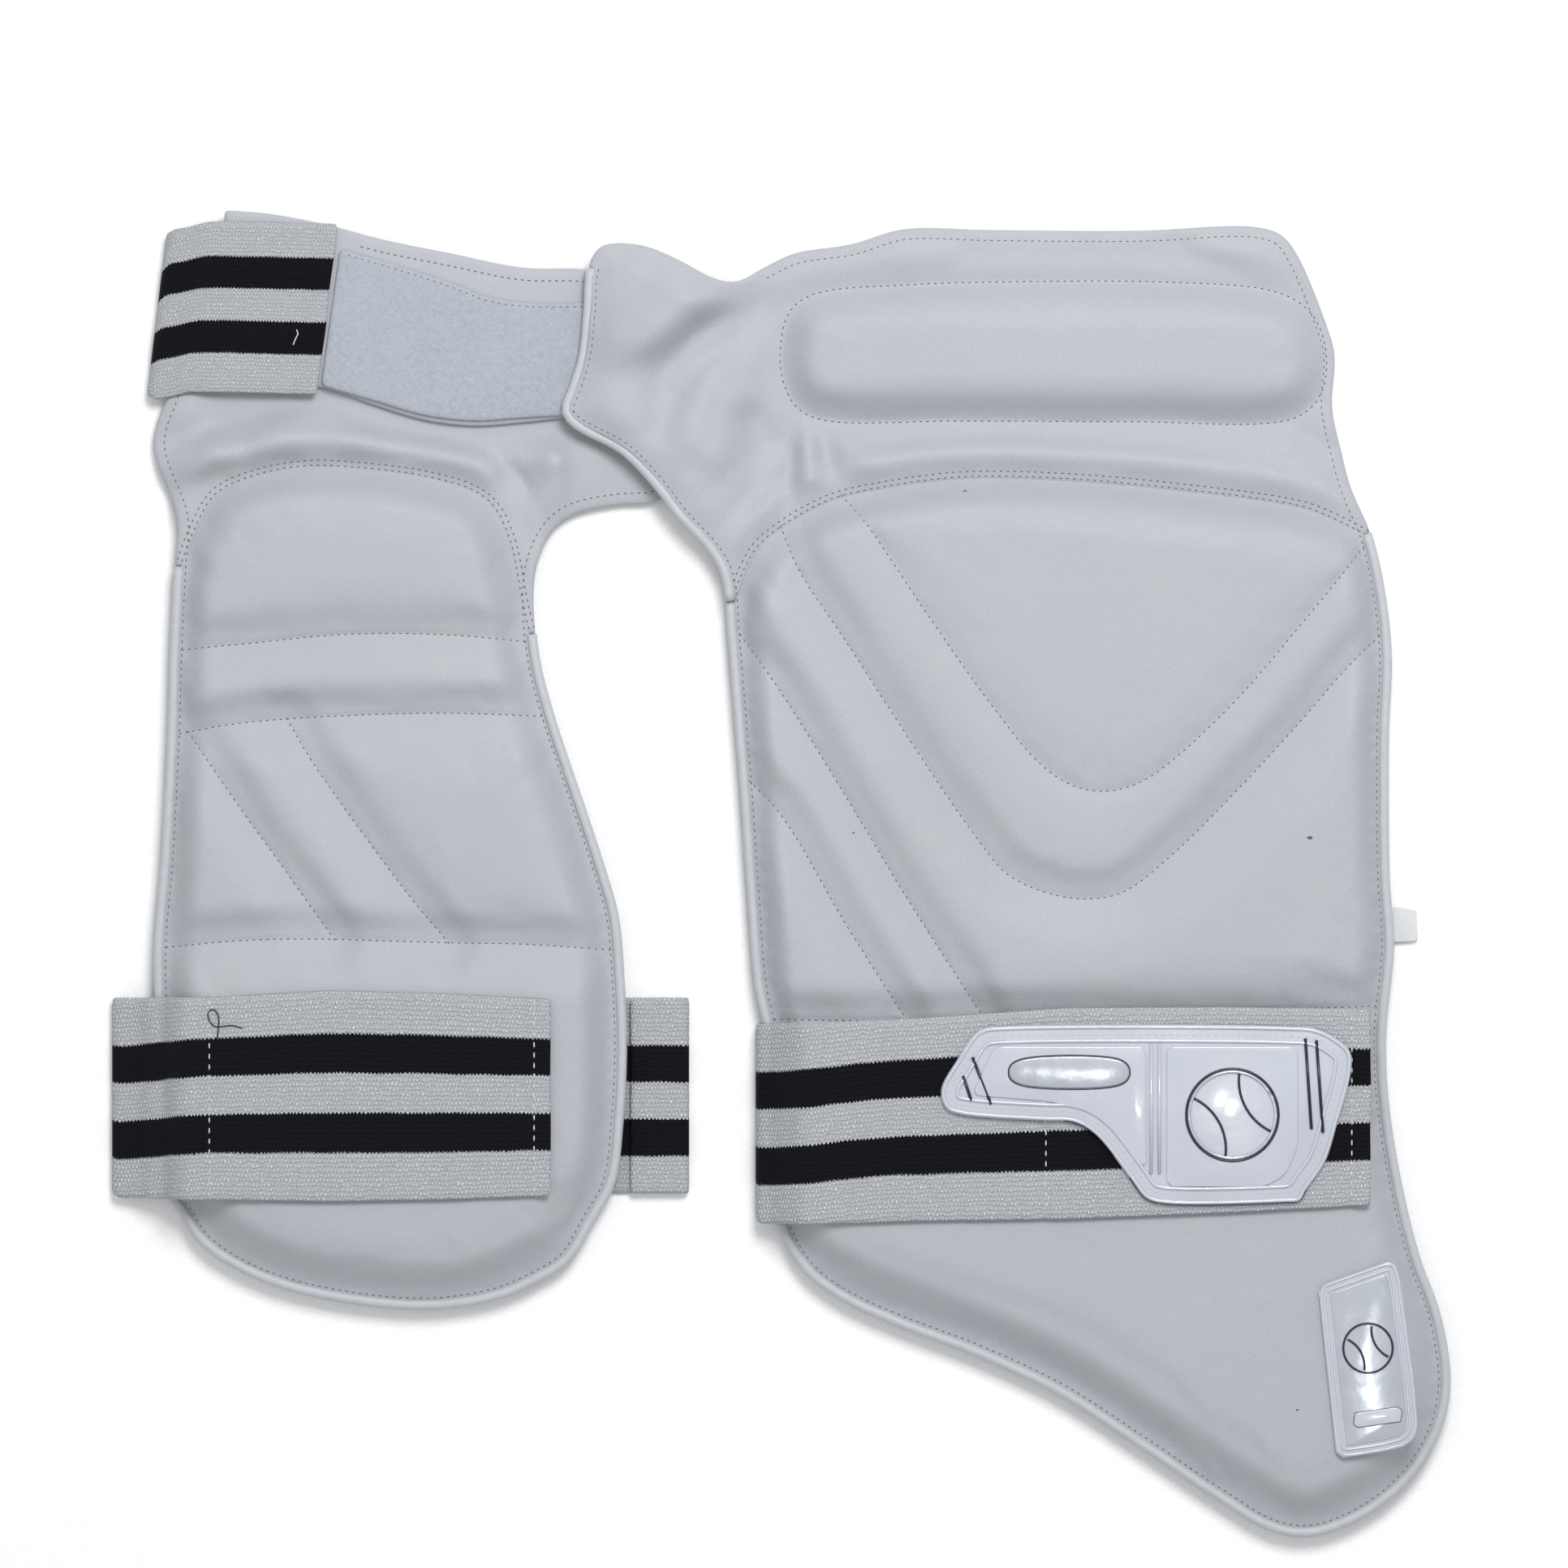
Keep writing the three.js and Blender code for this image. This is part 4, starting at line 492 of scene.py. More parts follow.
def inset(ring, offset):
    """A ring moved inwards, without the loops that a sharp corner would leave"""
    area = 0.5 * np.sum(ring[:, 0] * np.roll(ring[:, 1], -1) - np.roll(ring[:, 0], -1) * ring[:, 1])
    moved = beside(ring, offset if area > 0 else -offset, True)
    kept = moved[nearest(moved, ring, True)[0] > 0.97 * offset]
    return evenly(kept, np.linalg.norm(ring[1] - ring[0]), True)


def joined(*lines):
    """One ring from lines that follow each other"""
    points = [lines[0][0]]
    for point in np.vstack(lines):
        if np.linalg.norm(point - points[-1]) > 0.0008:
            points.append(point)
    if np.linalg.norm(points[0] - points[-1]) < 0.0008:
        points.pop()
    return np.array(points)


def rise(share):
    """From a seam to the top of the foam: gently away from the stitches, steeper, then onto the top"""
    share = np.clip(share, 0, 1)
    return share * share * (3 - 2 * share)


def ease(value, start, end):
    return rise((value - start) / (end - start))


def rough(points, scale, seed=0.0):
    """A smooth wander between -1 and 1 over the surface"""
    return np.array([noise.noise(Vector((x / scale, y / scale, seed))) for x, y in points])


class Guard:
    """Outlines and seams of the two guards, worked out once from the tables"""

    def __init__(self):
        size = sizes()
        step = size.net * LINE_SHARE
        self.outer_rim = smooth([on_outer(row) for row in OUTER_OUTLINE], step, True)
        self.outer_line = inset(self.outer_rim, size.tuck)
        self.inner_rim = smooth([on_inner(row) for row in INNER_OUTLINE], step, True)
        self.inner_line = inset(self.inner_rim, size.tuck)
        self.outer_arc = self.seam(OUTER_ARC, on_outer, self.outer_line, self.outer_line)
        self.upper_v = self.seam(UPPER_V, on_outer, self.outer_arc, self.outer_line)
        self.lower_v = self.seam(LOWER_V, on_outer, self.outer_arc, self.outer_line)
        self.strap_seam = self.seam(STRAP_SEAM, on_outer, self.outer_line, self.outer_line)
        self.side_seam = self.seam(SIDE_SEAM, on_outer, self.outer_line, self.strap_seam)
        self.corner_seam = self.seam(CORNER_SEAM, on_outer, self.outer_line, self.strap_seam)
        self.inner_arc = self.seam(INNER_ARC, on_inner, self.inner_line, self.inner_line)
        self.upper_band = self.seam(UPPER_BAND_SEAM, on_inner, self.inner_line, self.inner_line)
        self.lower_band = self.seam(LOWER_BAND_SEAM, on_inner, self.inner_line, self.inner_line)
        self.low_seam = self.seam(LOW_SEAM, on_inner, self.inner_line, self.inner_line)
        self.wedge_seam = self.seam(WEDGE_SEAM, on_inner, self.lower_band, self.low_seam)
        self.rib_seam = self.seam(RIB_SEAM, on_inner, self.lower_band, self.low_seam)
        self.bolster = smooth([on_outer(row) for row in BOLSTER], step, True)
        self.band_ring = self.strip(BAND_UPPER, BAND_LOWER)
        self.loop_ring = self.strip(LOOP_UPPER, LOOP_LOWER)
        self.outer_pad_edge = joined(
            *parts(self.outer_line, [self.outer_arc[0], on_outer(OUTER_TIP), self.outer_arc[-1]])
        )
        self.inner_pad_edge = joined(
            *parts(self.inner_line, [self.inner_arc[0], on_inner(INNER_END), self.inner_arc[-1]])
        )

    def seam(self, rows, place, start_line, end_line):
        """A seam whose ends are moved onto the lines that it starts and stops at"""
        points = [place(row) for row in rows]
        for end, line in ((0, start_line), (-1, end_line)):
            away = np.linalg.norm(line - points[end], axis=1)
            points[end] = line[away.argmin()]
        return smooth(points, sizes().net * LINE_SHARE)

    def strip(self, upper_rows, lower_rows):
        step = sizes().net * LINE_SHARE
        upper = smooth([on_inner(row) for row in upper_rows], step)
        lower = smooth([on_inner(row) for row in lower_rows], step)
        right_end, left_end = evenly([upper[-1], lower[-1]], step), evenly([lower[0], upper[0]], step)
        return evenly(joined(upper, right_end, lower[::-1], left_end), step, True)


_made = {}


def guard():
    if "guard" not in _made:
        _made["guard"] = Guard()
    return _made["guard"]


# Levels of the soft pieces at points of the surface

def fold_height(points, folds, place):
    height = np.zeros(len(points))
    for start, end, lift, left, right in folds:
        a, b = place(start), place(end)
        away, _ = nearest(points, np.array([a, b]))
        across = (b[0] - a[0]) * (points[:, 1] - a[1]) - (b[1] - a[1]) * (points[:, 0] - a[0])
        side = across / (np.linalg.norm(b - a) * np.maximum(away, 1e-6))
        reach = right + (left - right) * (0.5 + 0.5 * np.clip(side, -1, 1))
        height += lift * np.exp(-(away / reach) ** 2)
    return height


def hip_base(points):
    """Underside of the hip yoke: on the waist elastic, up to the pad's edge and over the waist band"""
    away = nearest(points, guard().outer_arc)[0]
    on_pad = YOKE_LOW + (COVER_LOW - YOKE_LOW) * (1 - ease(away, 0.009, 0.014))
    on_band = 1 - ease(points[:, 0], on_outer((-0.27, 1))[0], on_outer((0.06, 1))[0])
    return on_pad + (LOOP_HIGH + CLEARANCE - on_pad) * on_band


def hip_top(points):
    size = sizes()
    base = hip_base(points)
    gap, _ = nearest(points, guard().bolster, True)
    in_bolster = within(points, guard().bolster)
    calm = ease(nearest(points, guard().outer_arc)[0], 0, 0.008)
    calm *= ease(np.where(in_bolster, 0, gap), 0, 0.012)
    edge = nearest(points, guard().outer_rim, True)[0]
    calm = calm * (0.35 + 0.65 * ease(edge, 0.001, 0.012))
    folds = 1.15 * fold_height(points, HIP_FOLDS, on_outer)
    folds = folds + 0.0006 * rough(points, 0.02) + 0.0003 * rough(points, 0.007, 3)
    top = base + size.yoke + calm * np.maximum(-0.0004, folds + 0.0026)
    foam = np.where(in_bolster, rise((gap + 0.0006 * rough(points, 0.03, 7)) / size.bolster_bevel), 0)
    bolster_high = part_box("hip_bolster")[1].z - 0.004
    top = np.where(in_bolster, base + size.yoke + (bolster_high - base - size.yoke) * foam, top)
    return top - 0.0007 * (1 - ease(edge, 0, 0.0022)) - 0.0005 * np.exp(-((edge - size.hem) / 0.0009) ** 2)


def inner_yoke_base(points):
    away = nearest(points, guard().inner_arc)[0]
    return YOKE_LOW + (COVER_LOW - YOKE_LOW) * (1 - ease(away, 0.009, 0.014))


def inner_yoke_top(points):
    size = sizes()
    away, _ = nearest(points, guard().band_ring, True)
    under = np.where(within(points, guard().band_ring), 0, ease(away, 0.003, 0.014))
    calm = ease(nearest(points, guard().inner_arc)[0], 0, 0.007)
    wing = 1 - ease(points[:, 0], on_inner((0.9, 1))[0], on_inner((1, 1))[0])
    edge = nearest(points, guard().inner_rim, True)[0]
    calm = calm * (0.35 + 0.65 * ease(edge, 0.001, 0.012))
    folds = fold_height(points, INNER_FOLDS, on_inner) + 0.0006 * rough(points, 0.02, 5)
    top = inner_yoke_base(points) + size.yoke + under * wing * calm * np.maximum(-0.0004, folds + 0.0022)
    return top - 0.0007 * (1 - ease(edge, 0, 0.0022))


def pad_top(points, edge, edge_bevels, banks, gathers, place, seed):
    """Top of a quilted pad. It falls to its edge, and to each bank: a line, how deep, its bevel's start and
    width above the line, and its width below it."""
    size = sizes()
    shares, widths = zip(*edge_bevels)
    away, share = nearest(points, edge)
    bevel = np.interp(share, shares, widths)
    wander = 0.0008 * rough(points, 0.035, seed)
    height = rise((away - size.flange + ease(away, 0, 0.005) * wander) / bevel)
    crease = np.zeros(len(points))
    for line, depth, flange, upper, lower in banks:
        away, _ = nearest(points, line)
        crease = np.maximum(crease, np.exp(-(away / 0.0011) ** 2))
        away = away + ease(away, 0, 0.005) * wander
        slope = np.where(leftward(points, line), rise((away - flange) / upper), rise(away / lower))
        height = height * (1 - depth * (1 - slope))
    foam = COVER_HIGH - COVER_LOW - size.seam_edge - size.swelling
    top = COVER_LOW + size.seam_edge + (foam - 0.0003) * height
    soft = 0.00022 * rough(points, 0.03, seed + 9) + 0.00013 * rough(points, 0.009, seed + 4)
    soft += fold_height(points, gathers, place)
    return top + np.minimum(1, 3 * height) * (soft - size.pinch * crease)


# Meshes

def finished(name, bm, finish, flat=False):
    bmesh.ops.recalc_face_normals(bm, faces=bm.faces)
    mesh = bpy.data.meshes.new(name)
    bm.to_mesh(mesh)
    bm.free()
    mesh.polygons.foreach_set("use_smooth", [not flat] * len(mesh.polygons))
    piece = bpy.data.objects.new(name, mesh)
    bpy.context.scene.collection.objects.link(piece)
    piece.data.materials.append(finish_of(finish))
    return piece


def subdivided(piece, levels=1):
    surface = piece.modifiers.new("Smooth surface", "SUBSURF")
    surface.levels = levels
    surface.render_levels = levels


def flat_at(level):
    return lambda points: np.full(len(points), level)


def quilted(name, rim, seams, top, under, finish, step, row=0.0013):
    """A closed soft piece on a net of points inside its rim, whose seams are lines of the net"""
    lines = [(rim, True)] + [(seam, False) for seam in seams]
    sewn, edges = [], []
    for line, closed in lines:
        first = len(sewn)
        sewn += list(line)
        edges += [(first + i, first + i + 1) for i in range(len(line) - 1)]
        if closed:
            edges.append((first + len(line) - 1, first))
    sewn = np.array(sewn)
    rows = np.vstack([beside(line, side * row, closed) for line, closed in lines for side in (-1, 1)])
    low, high = sewn.min(0), sewn.max(0)
    across = np.arange(low[0], high[0], step)
    along = np.arange(low[1], high[1], step * 0.87)
    net = np.array([(x + (j % 2) * step / 2, y) for j, y in enumerate(along) for x in across])
    points = [sewn]
    for candidates, room in ((rows, 0.9 * row), (net, row + 0.5 * step)):
        kept = within(candidates, rim)
        for line, closed in lines:
            kept &= nearest(candidates, line, closed)[0] > room
        candidates = candidates[kept]
        cells = np.round(candidates / (0.6 * row)).astype(int)
        _, first = np.unique(cells, axis=0, return_index=True)
        points.append(candidates[np.sort(first)])
    flat = [Vector((x * 1000, y * 1000)) for x, y in np.vstack(points)]
    net_points, net_edges, net_faces, _, made_from, _ = geometry.delaunay_2d_cdt(flat, edges, [], 1, 1e-5)
    bm = bmesh.new()
    verts = [bm.verts.new((point.x / 1000, point.y / 1000, 0)) for point in net_points]
    for face in net_faces:
        bm.faces.new([verts[i] for i in face])
    bm.verts.ensure_lookup_table()
    for (a, b), origin in zip(net_edges, made_from):
        edge = bm.edges.get((verts[a], verts[b]))
        if edge and origin:
            edge.seam = True
    bmesh.ops.join_triangles(
        bm, faces=bm.faces, cmp_seam=True, angle_face_threshold=0.7, angle_shape_threshold=0.7,
    )
    made = bmesh.ops.extrude_face_region(bm, geom=list(bm.faces))
    upper = [item for item in made["geom"] if isinstance(item, bmesh.types.BMVert)]
    raised = set(upper)
    lower = [vert for vert in bm.verts if vert not in raised]
    for group, level in ((upper, top), (lower, under)):
        places = np.array([vert.co.xy for vert in group])
        for vert, z in zip(group, level(places)):
            vert.co.z = z
    loose = [vert for vert in bm.verts if not vert.link_faces]
    bmesh.ops.delete(bm, geom=loose, context="VERTS")
    bm.verts.index_update()
    raised_now = [vert for vert in upper if vert.is_valid]
    places = np.array([vert.co.xy for vert in raised_now])
    held = np.zeros(len(places), bool)
    for line, closed in lines:
        held |= nearest(places, line, closed)[0] < 0.0002
    pinned = [vert.index for vert, hold in zip(raised_now, held) if hold]
    pinned += [vert.index for vert in lower if vert.is_valid]
    piece = finished(name, bm, finish)
    return piece, pinned


def swell(piece, pinned, limit, pressure=4.0):
    """Lets the fabric swell between its seams by a cloth simulation, no further than the limit"""
    scene = bpy.context.scene
    start = np.array([vert.co[:] for vert in piece.data.vertices])
    group = piece.vertex_groups.new(name="sewn")
    group.add(pinned, 1.0, "REPLACE")
    cloth = piece.modifiers.new("Swelling", "CLOTH")
    cloth.settings.quality = 4
    cloth.settings.vertex_group_mass = group.name
    cloth.settings.use_pressure = True
    cloth.settings.uniform_pressure_force = pressure
    cloth.settings.effector_weights.gravity = 0
    cloth.collision_settings.use_collision = False
    cloth.point_cache.frame_start = 1
    cloth.point_cache.frame_end = 20
    for step in range(1, 21):
        scene.frame_set(step)
    result = piece.evaluated_get(bpy.context.evaluated_depsgraph_get())
    end = np.array([vert.co[:] for vert in result.data.vertices])
    piece.modifiers.remove(cloth)
    piece.vertex_groups.remove(group)
    scene.frame_set(1)
    shift = end - start
    length = np.linalg.norm(shift, axis=1)
    shift *= (np.minimum(length, limit) / np.maximum(length, 1e-12))[:, None]
    piece.data.vertices.foreach_set("co", (start + shift).ravel())
    piece.data.update()


def tube(name, paths, radius, finish, closed=False, sides=3):
    """Round cords along paths of (x, y, z) points"""
    curve = bpy.data.curves.new(name, "CURVE")
    curve.dimensions = "3D"
    curve.bevel_depth = radius
    curve.bevel_resolution = sides
    curve.use_fill_caps = True
    for path in paths:
        spline = curve.splines.new("POLY")
        spline.points.add(len(path) - 1)
        for point, place in zip(spline.points, path):
            point.co = (*place, 1)
        spline.use_cyclic_u = closed
    holder = bpy.data.objects.new(name, curve)
    bpy.context.scene.collection.objects.link(holder)
    mesh = bpy.data.meshes.new_from_object(holder.evaluated_get(bpy.context.evaluated_depsgraph_get()))
    bpy.data.objects.remove(holder)
    bpy.data.curves.remove(curve)
    bm = bmesh.new()
    bm.from_mesh(mesh)
    bpy.data.meshes.remove(mesh)
    bmesh.ops.remove_doubles(bm, verts=bm.verts, dist=1e-6)
    return finished(name, bm, finish)


def plate(name, ring, low, high, bevel, finish, rim=0.0, rim_rise=0.0):
    """A moulded plate from an outline, with rounded upper edges and a raised rim where one is asked for"""
    bm = bmesh.new()
    face = bm.faces.new([bm.verts.new((x, y, low)) for x, y in ring])
    made = bmesh.ops.extrude_face_region(bm, geom=[face])
    top = [item for item in made["geom"] if isinstance(item, bmesh.types.BMVert)]
    bmesh.ops.translate(bm, verts=top, vec=(0, 0, high - low))
    upper = [item for item in made["geom"] if isinstance(item, bmesh.types.BMFace)]
    if rim:
        ringed = bmesh.ops.inset_region(bm, faces=upper, thickness=rim, use_even_offset=True)
        raised = bmesh.ops.extrude_face_region(bm, geom=ringed["faces"])
        lifted = [item for item in raised["geom"] if isinstance(item, bmesh.types.BMVert)]
        bmesh.ops.translate(bm, verts=lifted, vec=(0, 0, rim_rise))
    bmesh.ops.recalc_face_normals(bm, faces=bm.faces)
    sharp = [
        edge for edge in bm.edges
        if len(edge.link_faces) == 2 and edge.calc_face_angle(0) > 0.9
        and min(vert.co.z for vert in edge.verts) > low + 1e-6
        and abs(edge.verts[0].co.z - edge.verts[1].co.z) < 1e-7
    ]
    bmesh.ops.bevel(bm, geom=sharp, offset=bevel, segments=3, profile=0.5, affect="EDGES", material=-1)
    return finished(name, bm, finish)


def surface_of(*pieces):
    """What the stitches are laid on: the finished surfaces, seen from above"""
    graph = bpy.context.evaluated_depsgraph_get()
    trees = [BVHTree.FromObject(piece, graph) for piece in pieces]

    def height(x, y):
        best = None
        for tree in trees:
            place, normal, _, _ = tree.ray_cast(Vector((x, y, 0.2)), Vector((0, 0, -1)))
            if place and (best is None or place.z > best[0].z):
                best = (place, normal)
        return best
    return height


def small_bead(bm, place, scale, turn=Matrix.Identity(4)):
    """One small rounded bead, stretched and turned"""
    matrix = Matrix.Translation(place) @ turn @ Matrix.Diagonal((*scale, 1))
    bmesh.ops.create_icosphere(bm, subdivisions=1, radius=1, matrix=matrix)


def stitch_row(bm, line, height, pitch, length, width, closed=False):
    """A row of stitches along a line, each lying on the surface below it"""
    marks = evenly(line, pitch, closed)
    ahead = np.roll(marks, -1, axis=0) - marks
    if not closed:
        ahead[-1] = ahead[-2]
    for (x, y), (dx, dy) in zip(marks, ahead):
        found = height(x, y)
        if found is None:
            continue
        place, normal = found
        tangent = Vector((dx, dy, 0)).normalized()
        tangent = (tangent - normal * tangent.dot(normal)).normalized()
        side = normal.cross(tangent)
        turn = Matrix((tangent, side, normal)).transposed().to_4x4()
        small_bead(bm, place, (length / 2, width / 2, width * 0.3), turn)


# Finishes

FULL_TURN = 6.2832


class Value:
    """A node's output that adds Math nodes when it is used in an expression"""

    def __init__(self, finish, socket):
        self.finish = finish
        self.socket = socket

    def math(self, operation, a, b=0.0, c=0.0):
        return self.finish.add("ShaderNodeMath", {"operation": operation}, {0: a, 1: b, 2: c})

    def __add__(self, other):
        return self.math("ADD", self, other)

    def __radd__(self, other):
        return self.math("ADD", other, self)

    def __sub__(self, other):
        return self.math("SUBTRACT", self, other)

    def __rsub__(self, other):
        return self.math("SUBTRACT", other, self)

    def __mul__(self, other):
        return self.math("MULTIPLY", self, other)

    def __rmul__(self, other):
        return self.math("MULTIPLY", other, self)

    def __truediv__(self, other):
        return self.math("DIVIDE", self, other)

    def absolute(self):
        return self.math("ABSOLUTE", self)

    def fraction(self):
        return self.math("FRACT", self)

    def sine(self):
        return self.math("SINE", self)

    def most(self, other):
        return self.math("MAXIMUM", self, other)

    def stepped(self, start, end):
        inputs = {0: self, 1: start, 2: end, 3: 0.0, 4: 1.0}
        return self.finish.add("ShaderNodeMapRange", {"interpolation_type": "SMOOTHSTEP"}, inputs)


class Finish:
    """A material under construction"""

    def __init__(self, name):
        self.material = bpy.data.materials.new(name)
        self.material.use_nodes = True
        self.tree = self.material.node_tree
        self.tree.nodes.clear()

    def node(self, kind, settings, inputs):
        made = self.tree.nodes.new(kind)
        for key, value in settings.items():
            setattr(made, key, value)
        for key, value in inputs.items():
            socket = made.inputs[key]
            if isinstance(value, Value):
                self.tree.links.new(value.socket, socket)
            elif socket.type == "RGBA" and len(value) == 3:
                socket.default_value = (*value, 1)
            else:
                socket.default_value = value
        return made

    def add(self, kind, settings, inputs, output=0):
        return Value(self, self.node(kind, settings, inputs).outputs[output])

    def place(self):
        return self.add("ShaderNodeTexCoord", {}, {}, "Object")

    def woven(self):
        """The two directions of a strap: along it in its own widths, and across it from 0 to 1"""
        flat = self.add("ShaderNodeTexCoord", {}, {}, "UV")
        split = self.node("ShaderNodeSeparateXYZ", {}, {0: flat})
        return flat, Value(self, split.outputs[0]), Value(self, split.outputs[1])

    def clouds(self, place, scale, detail=2.0, roughness=0.5):
        inputs = {"Vector": place, "Scale": scale, "Detail": detail, "Roughness": roughness}
        return self.add("ShaderNodeTexNoise", {}, inputs)

    def cells(self, place, scale, feature="F1"):
        return self.add("ShaderNodeTexVoronoi", {"feature": feature}, {"Vector": place, "Scale": scale})

    def mixed(self, factor, first, second):
        return self.add("ShaderNodeMix", {"data_type": "RGBA"}, {0: factor, 6: first, 7: second}, 2)

    def surface(self, colour, roughness, height=None, distance=0.0002, strength=1.0, **constants):
        inputs = {"Base Color": colour, "Roughness": roughness}
        if height is not None:
            relief = {"Height": height, "Distance": distance, "Strength": strength}
            inputs["Normal"] = self.add("ShaderNodeBump", {}, relief)
        for key, value in constants.items():
            inputs[key.replace("_", " ")] = value
        shader = self.add("ShaderNodeBsdfPrincipled", {}, inputs)
        self.node("ShaderNodeOutputMaterial", {}, {0: shader})
        return self.material


def tint(colour, factor):
    return tuple(min(1.0, part * factor) for part in colour)


def leatherette():
    colours = tints()
    finish = Finish("white leatherette")
    place = finish.place()
    grain = finish.cells(place, 1500.0)
    fine = finish.clouds(place, 2600.0, 2.0, 0.6)
    creases = finish.clouds(place, 140.0, 4.0, 0.6)
    broad = finish.clouds(place, 16.0, 3.0, 0.55)
    soil = finish.clouds(place, 45.0, 5.0, 0.7).stepped(0.5, 0.78)
    shade = finish.mixed(broad, tint(colours.cover, 0.95), tint(colours.cover, 1.05))
    shade = finish.mixed(fine.stepped(0.35, 0.65), tint(colours.cover, 0.9), shade)
    shade = finish.mixed(soil * 0.12, shade, (0.42, 0.41, 0.38))
    height = grain * 0.35 + fine * 0.35 + creases * 1.3
    return finish.surface(
        shade, 0.5 + fine * 0.16, height, 0.00022, 0.55, Specular_IOR_Level=0.35, Sheen_Weight=0.05,
    )


def binding():
    colours = tints()
    finish = Finish("piping leatherette")
    place = finish.place()
    fine = finish.clouds(place, 2200.0, 3.0, 0.6)
    folds = finish.clouds(place, 260.0, 2.0, 0.5)
    shade = finish.mixed(folds, tint(colours.binding, 0.9), tint(colours.binding, 1.04))
    return finish.surface(shade, 0.45 + fine * 0.15, folds + fine * 0.3, 0.0003, 0.5)


def lining():
    colours = tints()
    finish = Finish("backing cloth")
    place = finish.place()
    split = finish.node("ShaderNodeSeparateXYZ", {}, {0: place})
    x, y = Value(finish, split.outputs[0]), Value(finish, split.outputs[1])
    weave = (x * 7000.0).sine() * (y * 7000.0).sine()
    broad = finish.clouds(place, 30.0, 4.0, 0.6)
    shade = finish.mixed(broad, tint(colours.lining, 0.9), tint(colours.lining, 1.06))
    return finish.surface(shade, 0.82, weave + broad * 0.8, 0.00018, 0.5, Sheen_Weight=0.1)


def striped_elastic():
    colours = tints()
    finish = Finish("striped elastic")
    flat, along, across = finish.woven()
    sway = finish.clouds(flat, 20.0, 2.0, 0.6)
    rows = (across + sway * 0.035) * 44.0
    staggered = (rows * 0.5).fraction().stepped(0.49, 0.51) * 0.5
    wander = finish.clouds(flat, 14.0, 2.0, 0.5)
    loops = along * 52.0 + staggered + wander * 1.6
    bead = (loops * FULL_TURN).sine() * 0.5 + 0.5
    ribs = (rows * FULL_TURN).sine() * 0.5 + 0.5
    ragged = bead * 0.009 + finish.clouds(flat, 90.0, 3.0, 0.7) * 0.01
    ragged = ragged + finish.clouds(flat, 5.0, 1.0, 0.5) * 0.014
    edge = across + ragged - 0.016
    first = edge.stepped(0.607, 0.613) * (1.0 - edge.stepped(0.794, 0.8))
    second = edge.stepped(0.23, 0.236) * (1.0 - edge.stepped(0.42, 0.426))
    stripe = first.most(second)
    fuzz = finish.clouds(flat, 110.0, 4.0, 0.8)
    uneven = finish.clouds(flat, 8.0, 3.0, 0.6)
    knit = bead * ribs
    # Painted highlight: the tops of the knit's loops are brightened in the colour, up to twice the elastic's
    # white, as glints of light
    glint = knit.stepped(0.3, 0.9) * fuzz.stepped(0.38, 0.62)
    white = finish.mixed(fuzz.stepped(0.3, 0.7), tint(colours.elastic, 0.72), tint(colours.elastic, 1.08))
    white = finish.mixed(glint, white, tint(colours.elastic, 2.0))
    white = finish.mixed(uneven.stepped(0.4, 0.75) * 0.25, white, tint(colours.elastic, 0.85))
    black = finish.mixed(fuzz.stepped(0.5, 0.85), colours.stripe, tint(colours.stripe, 2.5))
    shade = finish.mixed(stripe, white, black)
    height = knit * 0.9 + fuzz * 0.4
    return finish.surface(shade, 0.8, height, 0.0006, 0.8, Specular_IOR_Level=0.12)


def loop_pile():
    colours = tints()
    finish = Finish("loop pile")
    place = finish.place()
    loops = finish.cells(place, 1300.0)
    fluff = finish.clouds(place, 700.0, 5.0, 0.75)
    broad = finish.clouds(place, 45.0, 3.0, 0.6)
    shade = finish.mixed(fluff.stepped(0.3, 0.7), tint(colours.pile, 0.9), tint(colours.pile, 1.1))
    shade = finish.mixed(broad.stepped(0.35, 0.75) * 0.35, shade, tint(colours.pile, 1.12))
    height = loops * 0.5 + fluff * 0.8 + broad
    return finish.surface(shade, 0.95, height, 0.0005, 0.6, Sheen_Weight=0.25, Specular_IOR_Level=0.15)


def moulding(name, base, spread, metallic):
    finish = Finish(name)
    place = finish.place()
    ripple = finish.clouds(place, 120.0, 3.0, 0.5)
    broad = finish.clouds(place, 35.0, 2.0, 0.5)
    shade = finish.mixed(broad, tint(base, 1 - spread), tint(base, 1 + spread))
    return finish.surface(
        shade, 0.16 + ripple * 0.14, ripple + broad * 2.0, 0.0005, 0.35,
        Metallic=metallic, Coat_Weight=0.8, Coat_Roughness=0.06, IOR=1.5,
    )


def plain(name, base, roughness):
    finish = Finish(name)
    fibres = finish.clouds(finish.place(), 1800.0, 3.0, 0.6)
    shade = finish.mixed(fibres, tint(base, 0.8), tint(base, 1.2))
    return finish.surface(shade, roughness, fibres, 0.0001, 0.4)


def finish_of(name):
    """Each finish is made once and shared"""
    colours = tints()
    makers = {
        "leatherette": leatherette, "binding": binding, "lining": lining, "elastic": striped_elastic,
        "pile": loop_pile,
        "clear": lambda: moulding("clear moulding", colours.clear, 0.12, 0.0),
        "silver": lambda: moulding("silver moulding", colours.silver, 0.1, 0.35),
        "ink": lambda: plain("dark moulded lines", colours.ink, 0.25),
        # Dark grey thread: partly its own colour, partly painted shade of the stitch holes; the specks use it
        # too
        "thread": lambda: plain("grey thread and specks with painted stitch-hole shade", colours.thread, 0.8),
        "white thread": lambda: plain("white thread", (0.55, 0.56, 0.58), 0.8),
        "black thread": lambda: plain("black thread", (0.02, 0.02, 0.025), 0.7),
        "tag": lambda: plain("tag cloth", (0.6, 0.61, 0.62), 0.8),
        "floor": lambda: plain("floor", colours.floor, 0.9),
    }
    if name not in _made:
        _made[name] = makers[name]()
    return _made[name]


def dress(piece, slot, *nodes):
    """The piece rides on the guard and stands for the nodes. The slot is not used."""
    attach(piece, "root")
    if nodes:
        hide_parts(*nodes)
    _made[piece.name] = piece


# Pieces

